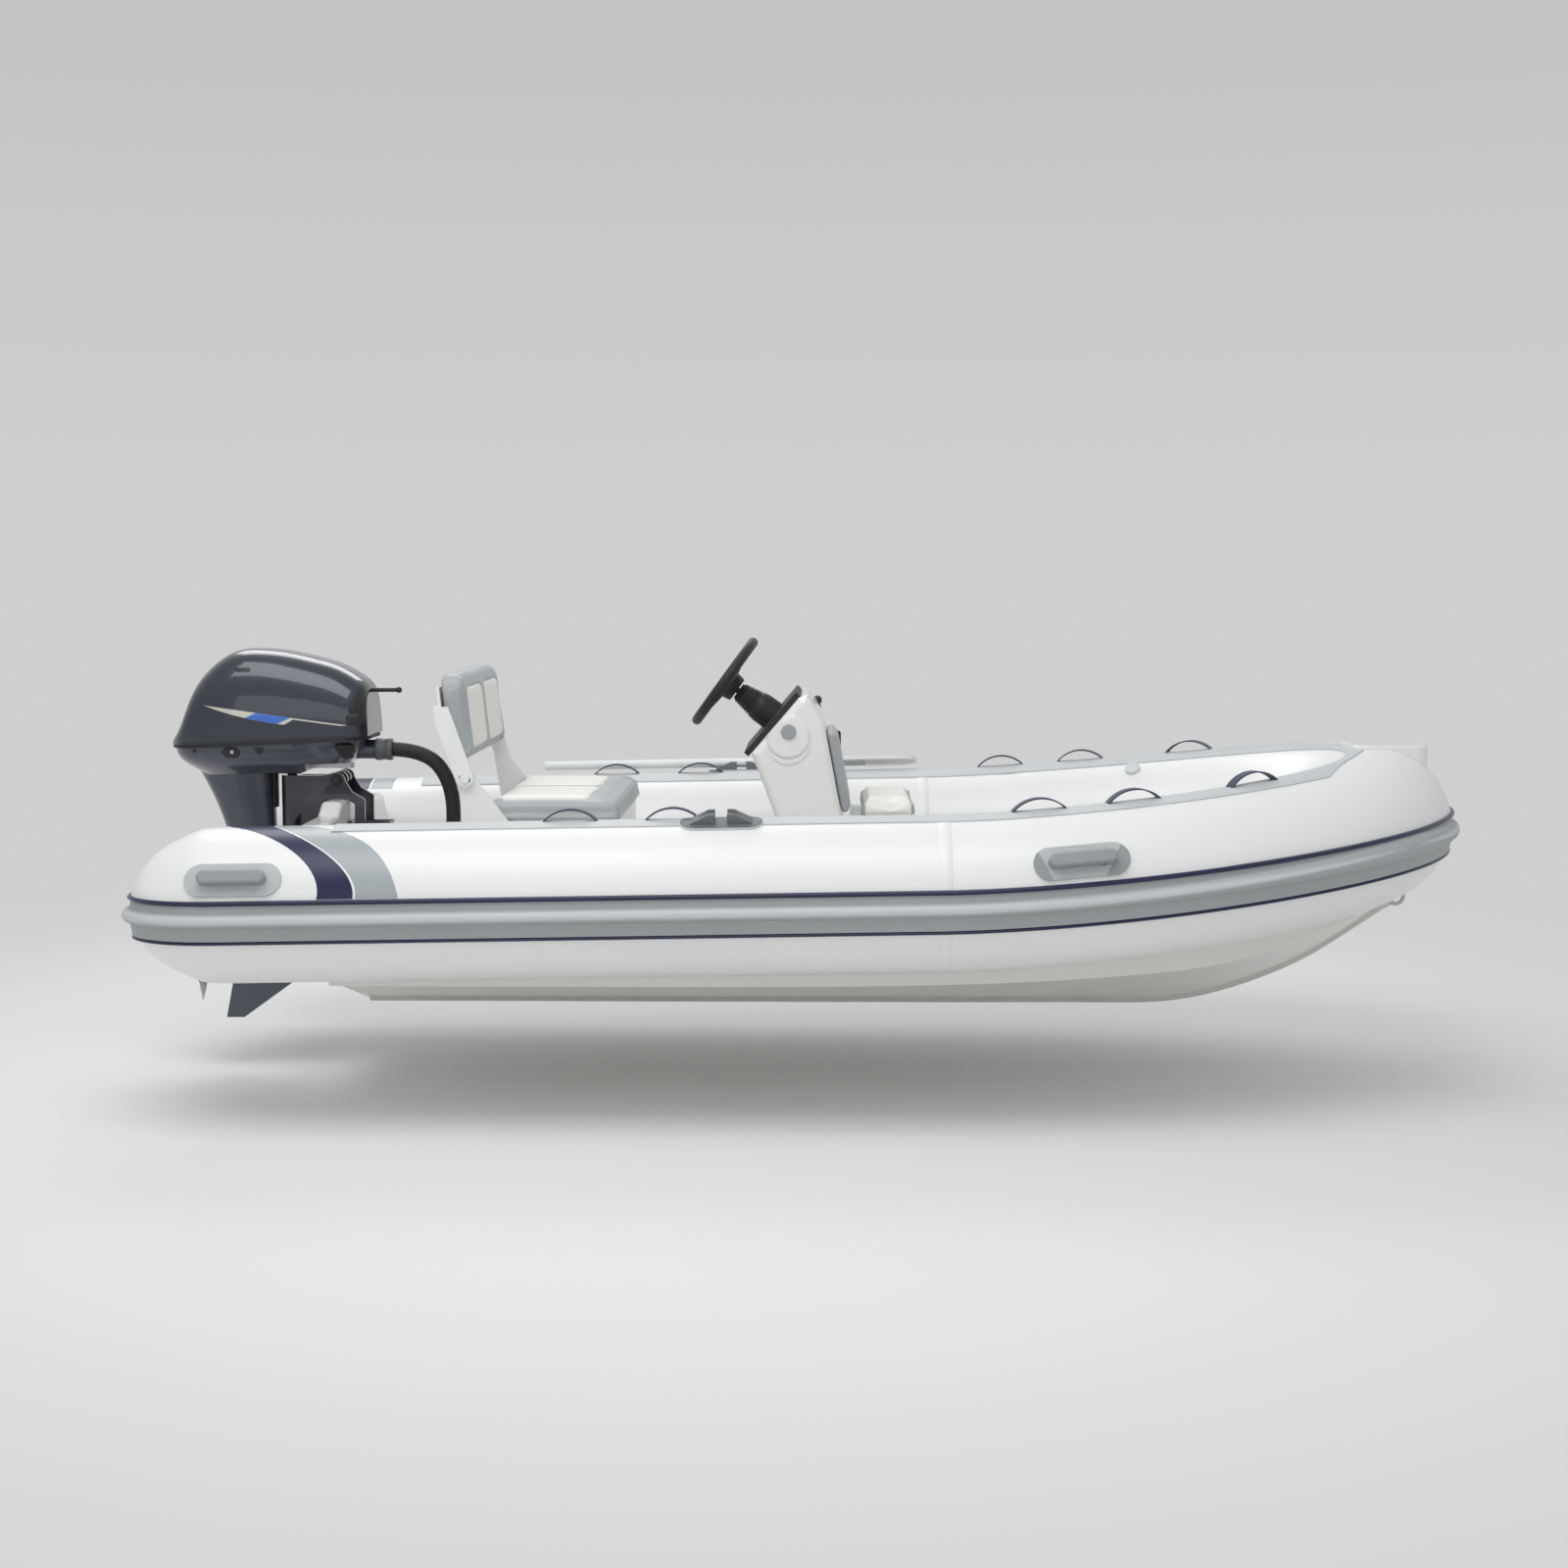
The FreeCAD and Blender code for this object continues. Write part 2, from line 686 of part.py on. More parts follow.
lifts = [lift_handle(x, -1) for x in lift_x]
lift_handles = Part.makeCompound(lifts + [mirrored(s) for s in lifts])


def clip(side):
    pad = stadium(clip_pad_length, clip_pad_width, -tube_radius / 4, clip_pad_skin)
    drum = Part.makeCylinder(tube_radius + clip_pad_skin, clip_pad_length * 2, Vector(-clip_pad_length, 0, -tube_radius), ahead)
    low, high = clip_gap / 2, clip_gap / 2 + clip_block
    wedge = prism_y([(low, 0), (high, 0), (high, clip_pad_skin), (low + clip_block / 4, clip_height), (low, clip_height)], -clip_width / 2, clip_width / 2)
    groove = Part.makeCylinder(paddle_shaft_radius + running_clearance, clip_pad_length * 2, Vector(-clip_pad_length, 0, paddle_lift + patch_skin + paddle_shaft_radius), ahead)
    holder = joined([pad.common(drum), wedge, wedge.mirror(Vector(0, 0, 0), ahead)]).cut(groove)
    holder.Placement = collar_frame(clip_x, side, clip_angle_deg, 0)
    return largest(clear_of_tubes(holder).cut(patch_starboard))


clips = clip(-1)
oar_clips = Part.makeCompound([clips, mirrored(clips)])


def valve(x, side):
    body = Part.makeCylinder(valve_radius, valve_height + valve_radius, Vector(0, 0, -valve_radius), up)
    body = rounded(body, valve_height / 3, lambda e: e.CenterOfMass.z > valve_height / 2)
    body.Placement = collar_frame(x, side, -valve_angle_deg, 0)
    return largest(clear_of_tubes(body))


valve_list = [valve(x, -1) for x in valve_x]
valves = Part.makeCompound(valve_list + [mirrored(s) for s in valve_list])

# Paddle in the port clips
shaft = Part.makeCylinder(paddle_shaft_radius, paddle_front_x - paddle_aft_x - paddle_blade_length / 2, Vector(paddle_aft_x - clip_x, 0, 0), ahead)
blade = stadium(paddle_blade_length, paddle_blade_width, -paddle_blade_thickness / 2, paddle_blade_thickness / 2)
blade.translate(Vector(paddle_front_x - clip_x - paddle_blade_length / 2, 0, 0))
paddle = joined([shaft, blade])
paddle.Placement = collar_frame(clip_x, 1, clip_angle_deg, patch_skin + paddle_lift + paddle_shaft_radius)

# Nose plate and bow eye
nose = box(nose_plate_aft_x, nose_plate_front_x, -nose_plate_half, nose_plate_half, nose_plate_top - nose_plate_depth, nose_plate_top)
nose = rounded(nose, nose_plate_round, lambda e: runs_along(e, up))
nose = rounded(nose, nose_plate_edge, lambda e: e.CenterOfMass.z > nose_plate_top - nose_plate_edge / 2)
nose_plate = largest(clear_of_tubes(nose))
ring = Part.makeTorus(eye_radius, eye_bar, Vector(eye_x, 0, eye_z), across)
bow_eye = largest(clear_of_tubes(ring.cut(hull)).cut(keel_guard))

# Console: hollow moulding with a raked dash
console_line = [(console_aft_foot_x, deck_top), (console_waist_x, console_waist_z), (dash_low_x, dash_low_z), (dash_high_x, dash_high_z),
                (console_crown_x, console_crown_z), (console_brow_x, console_brow_z), (console_front_foot_x, deck_top)]
outer = prism_y(console_line, -console_half, console_half)
outer = rounded(outer, console_round, lambda e: not runs_along(e, across) and e.CenterOfMass.z > deck_top + console_round)
centre_x = (console_waist_x + console_front_foot_x) / 2
centre_z = (deck_top + console_crown_z) / 2
shrink_x = 1 - 2 * console_wall / (console_front_foot_x - dash_low_x)
inner_line = []
for i, (x, z) in enumerate(console_line):
    ahead_x = (x - centre_x) * (1 - 4 * console_wall / (console_front_foot_x - console_waist_x)) + centre_x
    ahead_z = deck_top - console_wall if z <= deck_top else (z - deck_top) * (1 - 3 * console_wall / (console_crown_z - deck_top)) + deck_top
    inner_line.append((ahead_x, ahead_z))
inner = prism_y(inner_line, console_wall * 3 - console_half, console_half - console_wall * 3)
relief = cylinder(relief_radius, Vector(relief_x, -console_half - relief_height, relief_z), Vector(relief_x, 0, relief_z))
console_shell = joined([outer, relief, mirrored(relief)]).cut(inner)
cap = cylinder(cap_radius, Vector(relief_x, -console_half - relief_height - cap_height, relief_z + cap_rise), Vector(relief_x, -console_half - relief_height, relief_z + cap_rise))
cap = rounded(cap, cap_height / 2, lambda e: e.CenterOfMass.y < -console_half - relief_height - cap_height / 2)
console_cap = Part.makeCompound([cap, mirrored(cap)])

dash_line = Vector(dash_high_x - dash_low_x, 0, dash_high_z - dash_low_z)
dash_angle = math.degrees(math.atan2(dash_line.z, dash_line.x))
panel = box(-dash_overhang, dash_line.Length + dash_overhang / 2, -dash_half, dash_half, soft_gap, dash_thickness)
panel = rounded(panel, dash_round, lambda e: runs_along(e, up))
panel.Placement = Placement(Vector(dash_low_x, 0, dash_low_z), Rotation(across, -dash_angle))
console_dash = panel.cut(outer)

front_line = Vector(console_front_foot_x - console_brow_x, 0, deck_top - console_brow_z)
front_angle = math.degrees(math.atan2(-front_line.z, front_line.x))
pad = box(console_pad_drop, console_pad_drop + console_pad_length, -console_pad_half, console_pad_half, soft_gap, soft_gap + console_pad_thickness)
pad = rounded(pad, console_pad_round, lambda e: e.CenterOfMass.z > soft_gap + console_pad_thickness / 3)
pad.Placement = Placement(Vector(console_brow_x, 0, console_brow_z), Rotation(across, front_angle))
console_cushion = pad

# Helm: boot on the dash, and the wheel on its shaft
column = Vector(-math.cos(math.radians(column_angle_deg)), 0, math.sin(math.radians(column_angle_deg)))
wheel_centre = Vector(wheel_x, 0, wheel_z)
normal = Vector(-dash_line.z, 0, dash_line.x).normalize()
dash_face = Vector(dash_low_x, 0, dash_low_z).add(Vector(normal).multiply(dash_thickness))
reach = wheel_centre.sub(dash_face).dot(normal) / column.dot(normal)
helm_turn = Rotation(up, column)


def on_column(distance):
    """A point on the steering column, that far below the wheel's centre."""
    return wheel_centre.sub(Vector(column).multiply(distance))


boot_top = wheel_hub_depth + wheel_gap
boot_length = reach - helm_base_depth - boot_top
outline = [(0, 0), (helm_base_radius, 0), (helm_base_radius, helm_base_depth * 0.8), (helm_boot_radius, helm_base_depth)]
for i in range(helm_boot_ribs):
    step = boot_length / helm_boot_ribs
    outline += [(helm_boot_radius, helm_base_depth + step * (i + 0.35)), (helm_boot_waist, helm_base_depth + step * (i + 0.7))]
outline += [(helm_boot_waist, helm_base_depth + boot_length), (helm_pin_radius, helm_base_depth + boot_length), (helm_pin_radius, reach - wheel_hub_depth / 4), (0, reach - wheel_hub_depth / 4)]
face = Part.Face(Part.makePolygon([Vector(r, 0, h) for r, h in outline] + [Vector(0, 0, 0)]))
helm = face.revolve(Vector(0, 0, 0), up, 360)
foot_plug = Part.makeCylinder(helm_base_radius, helm_base_radius, Vector(0, 0, -helm_base_radius), up)
helm = joined([helm, foot_plug])
helm.Placement = Placement(on_column(reach), helm_turn)
helm_hub = helm.cut(console_dash).cut(outer)
helm_hub = largest(helm_hub)

rim = Part.makeTorus(wheel_rim_radius, wheel_grip_radius, Vector(0, 0, wheel_dish), up)
hub = Part.makeCylinder(wheel_hub_radius, wheel_hub_depth + wheel_dish / 2, Vector(0, 0, -wheel_hub_depth), up)
hub = rounded(hub, wheel_dish / 4, lambda e: e.CenterOfMass.z > 0 and len(e.Vertexes) == 1)
spokes = []
for turn in (0, 120, 240):
    spoke = prism_y([(0, -wheel_spoke_thickness), (0, 0), (wheel_rim_radius - wheel_grip_radius / 2, wheel_dish), (wheel_rim_radius - wheel_grip_radius / 2, wheel_dish - wheel_spoke_thickness)],
                    -wheel_spoke_width / 2, wheel_spoke_width / 2)
    spoke.rotate(Vector(0, 0, 0), up, turn + 180)
    spokes.append(spoke)
wheel = joined([rim, hub] + spokes)
wheel = wheel.cut(Part.makeCylinder(helm_pin_radius + running_clearance, wheel_hub_depth * 2, Vector(0, 0, -wheel_hub_depth * 2 - wheel_hub_depth / 4 + running_clearance), up))
wheel.Placement = Placement(wheel_centre, helm_turn)
steering_wheel = wheel

# Remote control: housing and lever on the port side of the console
housing = box(relief_x + relief_radius, relief_x + relief_radius + remote_length, console_half, console_half + remote_depth, relief_z - remote_height, relief_z)
housing = rounded(housing, remote_depth / 4, lambda e: e.CenterOfMass.y > console_half + remote_depth / 4)
lever_foot = Vector(relief_x + relief_radius + remote_length / 2, console_half + remote_depth, relief_z - remote_height / 3)
lever_foot_in = Vector(lever_foot.x, console_half + remote_depth / 2, lever_foot.z)
lever_out = Vector(lever_foot.x, console_half + remote_depth * 1.4, lever_foot.z)
lever_end = Vector(lever_foot.x - remote_lever_length / 5, lever_out.y, lever_foot.z + remote_lever_length)
lever = joined([cylinder(remote_lever_radius * 1.4, lever_foot_in, lever_out), cylinder(remote_lever_radius, lever_out, lever_end), Part.makeSphere(remote_lever_radius * 1.4, lever_out), Part.makeSphere(remote_knob_radius, lever_end)])
remote_control = joined([housing, lever]).cut(outer)

# Front seat box and its cushion
seat_end = front_seat_x + front_seat_length
seat = box(console_front_foot_x - console_pad_thickness, seat_end, -front_seat_half, front_seat_half, deck_top, front_seat_top - front_cushion_thickness)
seat = rounded(seat, front_seat_round, lambda e: runs_along(e, up) and e.CenterOfMass.x > front_seat_x + front_seat_length / 2)
front_seat = seat.cut(outer).cut(console_cushion)
cushion = box(front_seat_x + console_pad_thickness, seat_end, -front_seat_half, front_seat_half, front_seat_top - front_cushion_thickness + soft_gap, front_seat_top)
front_cushion = rounded(cushion, front_cushion_round, lambda e: e.CenterOfMass.z > front_seat_top - front_cushion_thickness + soft_gap * 2)

# Helm bench: box with arched ends, side cheeks with pivots, cushion, and the folding backrest
bench = box(bench_aft_x, bench_front_x, -bench_half, bench_half, deck_top, bench_top)
bench_middle = (bench_aft_x + bench_front_x) / 2
arch = Part.makeCylinder(bench_arch_radius, bench_half * 2, Vector(bench_middle, -bench_half, deck_top), across)
inside = box(bench_aft_x + bench_wall, bench_front_x - bench_wall, bench_wall - bench_half, bench_half - bench_wall, deck_top, bench_top - bench_wall)
seat_base = bench.cut(arch).cut(inside)

arm_y = bench_half
cheek_line = [(bench_aft_x, bench_top - arm_foot), (pivot_x - pivot_boss, pivot_z), (pivot_x, pivot_z + pivot_boss), (pivot_x + pivot_boss, pivot_z),
              (bench_aft_x + arm_foot, bench_top - bench_wall), (bench_aft_x + arm_foot, bench_top - arm_foot)]
cheek = prism_y([cheek_line[0], cheek_line[1], cheek_line[3], cheek_line[4], cheek_line[5]], arm_y, arm_y + arm_thickness)
boss = Part.makeCylinder(pivot_boss, arm_thickness, Vector(pivot_x, arm_y, pivot_z), across)
pin = Part.makeCylinder(pivot_pin, arm_thickness * 2 + running_clearance * 2 + pivot_head_height, Vector(pivot_x, arm_y, pivot_z), across)
head = Part.makeCylinder(pivot_head, pivot_head_height, Vector(pivot_x, arm_y + arm_thickness * 2 + running_clearance * 2, pivot_z), across)
cheek = joined([cheek, boss, pin, head])
seat_arms = Part.makeCompound([cheek, mirrored(cheek)])

cushion = box(cushion_aft_x, cushion_front_x, -bench_half, bench_half, bench_top + soft_gap, bench_top + cushion_thickness)
seat_cushion = rounded(cushion, cushion_round, lambda e: e.CenterOfMass.z > bench_top + soft_gap * 2)

back_height = back_top_z - back_low_z


def back_at(forward, z):
    return (pivot_x - back_behind_pivot + forward - back_lean * (z - back_low_z), z)


waist_z = back_low_z + back_height * back_waist_share
back_line = [back_at(back_board, waist_z), back_at(back_thickness - back_foot, back_low_z), back_at(back_thickness, back_low_z + back_foot), back_at(back_thickness, back_top_z - back_round),
             back_at(back_thickness - back_round, back_top_z), back_at(back_board + back_round, back_top_z), back_at(back_board, back_top_z - back_round)]
pad = prism_y(back_line, -back_half, back_half)
pad = rounded(pad, back_foot / 3, lambda e: not runs_along(e, across))
backrest_cushion = pad
board_line = [back_at(0, waist_z), back_at(back_board - soft_gap, waist_z), back_at(back_board - soft_gap, back_top_z - back_round * 2), back_at(0, back_top_z - back_round * 2)]
shell = prism_y(board_line, -back_half, back_half)
lever_y = arm_y + arm_thickness + running_clearance
link_top = waist_z + pivot_boss * 2
link = prism_y([(pivot_x - pivot_boss, pivot_z), (pivot_x + pivot_boss, pivot_z), back_at(back_link_width, waist_z), back_at(back_link_width - pivot_boss / 2, link_top), back_at(-back_board, link_top), back_at(-back_board, waist_z)], lever_y, lever_y + arm_thickness)
link = joined([link, Part.makeCylinder(pivot_boss, arm_thickness, Vector(pivot_x, lever_y, pivot_z), across)])
link = link.cut(Part.makeCylinder(pivot_pin + running_clearance, arm_thickness * 3, Vector(pivot_x, lever_y - arm_thickness, pivot_z), across))
bridge = prism_y([back_at(-back_board, waist_z), back_at(back_board - soft_gap, waist_z), back_at(back_board - soft_gap, link_top), back_at(-back_board, link_top)], back_half - arm_thickness, lever_y + arm_thickness)
link = joined([link, bridge])
backrest_frame = joined([shell, link, mirrored(link)])

# Clamp bracket: two plates that hook over the transom, the tilt tube, and the clamp screws
plate_line = [(transom_aft_x, clamp_foot_z), (transom_aft_x - clamp_aft_reach * 0.55, clamp_foot_z), (transom_aft_x - clamp_aft_reach, clamp_foot_z + clamp_aft_reach), (transom_aft_x - clamp_aft_reach, transom_top),
              (tilt_x - tilt_boss_radius, tilt_z), (tilt_x + tilt_boss_radius, tilt_z), (transom_front_x + clamp_thickness, transom_top + clamp_neck), (transom_front_x + clamp_front_reach, transom_top),
              (transom_front_x + clamp_front_reach, clamp_jaw_z), (transom_front_x + clamp_front_reach / 2.4, clamp_jaw_z), (transom_front_x + clamp_front_reach / 2.4, transom_top - transom_round),
              (transom_front_x, transom_top), (transom_aft_x, transom_top)]
side_plate = prism_y(plate_line, clamp_y, clamp_y + clamp_thickness)
side_plate = joined([side_plate, Part.makeCylinder(tilt_boss_radius, clamp_thickness, Vector(tilt_x, clamp_y, tilt_z), across)])
screw_y = clamp_y + clamp_thickness / 2
screw_end = transom_front_x + clamp_screw_reach
screw = cylinder(clamp_screw_radius, Vector(transom_front_x, screw_y, clamp_screw_z), Vector(screw_end, screw_y, clamp_screw_z))
pad = cylinder(clamp_pad_radius, Vector(transom_front_x, screw_y, clamp_screw_z), Vector(transom_front_x + clamp_pad_thickness, screw_y, clamp_screw_z))
bar = cylinder(clamp_handle_radius, Vector(screw_end - clamp_handle_radius, screw_y - clamp_handle_length / 2, clamp_screw_z), Vector(screw_end - clamp_handle_radius, screw_y + clamp_handle_length / 2, clamp_screw_z))
side = joined([side_plate, screw, pad, bar])
tilt_tube = Part.makeCylinder(tilt_tube_radius, (clamp_y + clamp_thickness) * 2 + clamp_thickness, Vector(tilt_x, -clamp_y - clamp_thickness * 1.5, tilt_z), across)
web = box(transom_aft_x - clamp_thickness, transom_aft_x, -clamp_y, clamp_y, clamp_foot_z, clamp_foot_z + clamp_web)
clamp_bracket = joined([side, mirrored(side), tilt_tube, web]).cut(transom)

# Swivel bracket: sleeve round the steering pin with cheeks to the tilt tube
sleeve = cylinder(swivel_radius, Vector(steer_x, 0, swivel_low_z), Vector(steer_x, 0, swivel_top_z))
cheek_low = transom_top + yoke_gap * 2
cheek_line = [(steer_x, cheek_low - swivel_radius * 3), (transom_aft_x - clamp_aft_reach / 2, cheek_low), (tilt_x, tilt_z - tilt_boss_radius), (tilt_x, tilt_z + tilt_boss_radius), (tilt_x - tilt_boss_radius * 2, swivel_top_z), (steer_x, swivel_top_z)]
cheek = prism_y(cheek_line, swivel_cheek_y - swivel_cheek, swivel_cheek_y)
cheek = joined([cheek, Part.makeCylinder(tilt_boss_radius, swivel_cheek, Vector(tilt_x, swivel_cheek_y - swivel_cheek, tilt_z), across)])
spine = prism_y(cheek_line[:2] + [(tilt_x - tilt_boss_radius * 1.2, cheek_low + swivel_cheek), (tilt_x - tilt_boss_radius * 1.2, swivel_top_z - swivel_cheek / 2), (steer_x, swivel_top_z - swivel_cheek / 2)], -swivel_cheek_y + swivel_cheek, swivel_cheek_y - swivel_cheek)
swivel = joined([sleeve, cheek, mirrored(cheek), spine])
swivel = swivel.cut(cylinder(swivel_pin_radius + running_clearance, Vector(steer_x, 0, swivel_low_z - overrun / 2), Vector(steer_x, 0, swivel_top_z + overrun / 2)))
swivel_bracket = swivel.cut(Part.makeCylinder(tilt_tube_radius + running_clearance, clamp_y * 2, Vector(tilt_x, -clamp_y, tilt_z), across))


# Powerhead: pan, seal and cowl, pitched a little nose up about the steering axis
def egg(x0, x1, half, z, fullness=2.6, steps=24):
    middle, reach_x = (x0 + x1) / 2, (x1 - x0) / 2
    points = []
    for i in range(steps):
        t = 2 * math.pi * i / steps
        c, s = math.cos(t), math.sin(t)
        points.append(Vector(middle + reach_x * math.copysign(abs(c) ** (2 / fullness), c), half * math.copysign(abs(s) ** (2 / fullness), s), z))
    curve = Part.BSplineCurve()
    curve.interpolate(Points=points, PeriodicFlag=True)
    return Part.Wire([curve.toShape()])


def pitched(shape):
    shape = shape.copy()
    shape.Placement = Placement(Vector(steer_x, 0, head_z), Rotation(across, -head_pitch_deg)).multiply(shape.Placement)
    return shape


def cowl_form(inset):
    wires = []
    for place, half, height in cowl_shares:
        w, h = max(head_half * half - inset, inset), max(head_half * height - inset, inset / 2)
        x = head_half * place
        points = []
        for i in range(13):
            t = math.pi * i / 12
            c, s = math.cos(t), math.sin(t)
            points.append(Vector(x, w * math.copysign(abs(c) ** 0.62, c), h * max(0, s) ** 0.72))
        arch = spline(points)
        wires.append(Part.Wire([arch, Part.makeLine(points[-1], points[0])]))
    return Part.makeLoft(wires, True, False)


cowl_outer = cowl_form(0)
cowl_inner = cowl_form(cowl_wall)
ends = box(head_half * cowl_shares[0][0] + cowl_wall * 2, head_half * cowl_shares[-1][0] - cowl_wall, -head_half, head_half, -head_half, head_half * 2)
cowl = cowl_outer.cut(cowl_inner.common(ends))
engine_cowl = pitched(cowl)
head_aft, head_front = head_half * pan_shares[0][0], head_half * pan_shares[0][1]
seal_front = head_half * cowl_shares[-1][0]
seal = Part.Face(egg(head_aft - seal_lip, seal_front + seal_lip, head_half + seal_lip, -seal_thickness, 3.4)).extrude(Vector(0, 0, seal_thickness))
cowl_seal = pitched(seal)
pan_wires = [egg(head_half * a, head_half * f, head_half * w, head_half * z - seal_thickness, 3.0) for a, f, w, z in pan_shares]
pan = Part.makeLoft(pan_wires, True, False)
block = box(-head_half * block_aft_share, head_half * block_front_share, -block_half, block_half, 0, block_height)
engine_block = pitched(rounded(block, block_half / 6, lambda e: e.CenterOfMass.z > block_height / 2))
arm_notch = box(steer_x + arm_notch_start, steer_x + head_half * 2, -head_half, head_half, arm_low_z - overrun, arm_low_z + arm_bar + arm_notch_gap)
pan_placed = pitched(pan).cut(arm_notch)

# Steering pin with its yokes, the steering arm, the leg and the gearcase
leg_height = casing_top_z - leg_low_z
leg_wires = []
for height, aft, front, half in leg_shares:
    leg_wires.append(egg(steer_x + leg_height * aft, steer_x + leg_height * front, leg_height * half, leg_low_z + leg_height * height, 2.3))
leg = Part.makeLoft(leg_wires, True, False)
yoke_top = swivel_top_z + yoke_gap
pin = cylinder(swivel_pin_radius, Vector(steer_x, 0, swivel_low_z - yoke_low), Vector(steer_x, 0, yoke_top + arm_bar))
upper = box(steer_x - swivel_radius * 2.4, steer_x + swivel_radius, -swivel_radius, swivel_radius, yoke_top, yoke_top + yoke_low)
lower = box(steer_x - swivel_radius * 3, steer_x + swivel_pin_radius, -swivel_radius, swivel_radius, swivel_low_z - yoke_low, swivel_low_z - yoke_gap)
arm = box(steer_x, steer_x + arm_reach, -arm_width / 2, arm_width / 2, arm_low_z, arm_low_z + arm_bar)
arm = rounded(arm, arm_width / 2.2, lambda e: runs_along(e, up) and e.CenterOfMass.x > steer_x)
steering_arm = arm.cut(upper)
swivel_pin = joined([pin, upper, lower]).cut(leg)
engine_casing = leg.cut(pan_placed)
swivel_pin = swivel_pin.cut(pan_placed)
steering_arm = steering_arm.cut(pan_placed).cut(swivel_pin)
engine_casing = largest(engine_casing)
gland_front = steer_x + gland_reach + gland_length
gland = cylinder(gland_radius, Vector(steer_x + gland_reach - gland_length, 0, gland_z), Vector(gland_front, 0, gland_z))
engine_pan = joined([pan_placed, gland]).cut(cowl_seal).cut(steering_arm).cut(swivel_pin).cut(engine_casing)
engine_pan = largest(engine_pan)
hook = joined([cylinder(hook_radius, Vector(steer_x + head_half, 0, hook_z), Vector(steer_x + seal_front + hook_length, 0, hook_z)), Part.makeSphere(hook_radius * 1.5, Vector(steer_x + seal_front + hook_length, 0, hook_z))])
cowl_handle = hook.cut(engine_cowl).cut(pitched(cowl_inner))

plate = Part.Face(egg(plate_aft_x, plate_front_x, plate_half, plate_z, 2.2)).extrude(Vector(0, 0, plate_thickness))
strut_aft, strut_front = steer_x + leg_height * leg_shares[2][1], steer_x + leg_height * leg_shares[2][2]
strut = Part.makeLoft([egg(strut_aft, strut_front, leg_height * leg_shares[2][3], leg_low_z, 2.3), egg(strut_aft, strut_front + torpedo_radius / 2, torpedo_radius * 0.7, shaft_z, 2.1)], True, False)
nose_length = torpedo_radius * 2.4
line = [Vector(torpedo_aft_x, 0, 0), Vector(torpedo_aft_x, 0, torpedo_radius * 0.86), Vector(torpedo_aft_x + torpedo_radius, 0, torpedo_radius), Vector(torpedo_nose_x - nose_length, 0, torpedo_radius)]
curve = spline([line[3], Vector(torpedo_nose_x - nose_length * 0.45, 0, torpedo_radius * 0.84), Vector(torpedo_nose_x, 0, 0)], ahead, Vector(0, 0, -1))
wire = Part.Wire([Part.makeLine(a, b) for a, b in zip(line, line[1:])] + [curve, Part.makeLine(Vector(torpedo_nose_x, 0, 0), line[0])])
torpedo = Part.Face(wire).revolve(Vector(0, 0, 0), ahead, 360)
torpedo.translate(Vector(0, 0, shaft_z))
skeg = prism_y([(skeg_heel_x, shaft_z), (skeg_root_x, shaft_z - torpedo_radius / 2), (skeg_toe_x, skeg_low_z), (skeg_aft_x, skeg_low_z)], -skeg_thickness / 2, skeg_thickness / 2)
hub_aft = torpedo_aft_x - prop_gap - prop_hub_length
shaft = cylinder(prop_shaft_radius, Vector(torpedo_aft_x, 0, shaft_z), Vector(hub_aft - prop_gap, 0, shaft_z))
nut = cylinder(prop_nut_radius, Vector(hub_aft - prop_gap - prop_nut_radius, 0, shaft_z), Vector(hub_aft - prop_gap, 0, shaft_z))
gearcase = joined([plate, strut, torpedo, skeg, shaft, nut]).cut(engine_casing)

# Propeller: pitched blades lofted from lens sections
def blade_section(radius, chord, thick):
    turn = math.atan2(prop_pitch, 2 * math.pi * radius)
    points = []
    for u, v in ((-0.5, 0), (-0.25, 0.42), (0, 0.5), (0.3, 0.36), (0.5, 0), (0.25, -0.2), (-0.2, -0.2)):
        points.append(Vector(chord * u, 0, thick * v))
    curve = Part.BSplineCurve()
    curve.interpolate(Points=points, PeriodicFlag=True)
    wire = Part.Wire([curve.toShape()])
    wire.rotate(Vector(0, 0, 0), across, 0)
    m = FreeCAD.Matrix(math.sin(turn), 0, math.cos(turn), 0, math.cos(turn), 0, -math.sin(turn), 0, 0, 1, 0, radius, 0, 0, 0, 1)
    return wire.transformGeometry(m)


sections = [(0.30, 0.62, 1.0), (0.52, 0.92, 0.75), (0.76, 1.0, 0.5), (0.93, 0.72, 0.36), (1.0, 0.34, 0.3)]
blade_solid = Part.makeLoft([blade_section(prop_radius * r, prop_chord * c, prop_blade_thickness * t) for r, c, t in sections], True, False)
hub = Part.makeCylinder(prop_hub_radius, prop_hub_length, Vector(-prop_hub_length / 2, 0, 0), ahead)
hub = rounded(hub, prop_hub_radius / 8, lambda e: len(e.Vertexes) == 1 and e.CenterOfMass.x < 0)
parts = [hub]
for i in range(prop_blades):
    one = blade_solid.copy()
    one.rotate(Vector(0, 0, 0), ahead, 360 * i / prop_blades + 180)
    parts.append(one)
prop = joined(parts).cut(Part.makeCylinder(prop_shaft_radius + running_clearance, prop_hub_length * 2, Vector(-prop_hub_length, 0, 0), ahead))
prop.translate(Vector(torpedo_aft_x - prop_gap - prop_hub_length / 2, 0, shaft_z))
propeller = largest(prop)

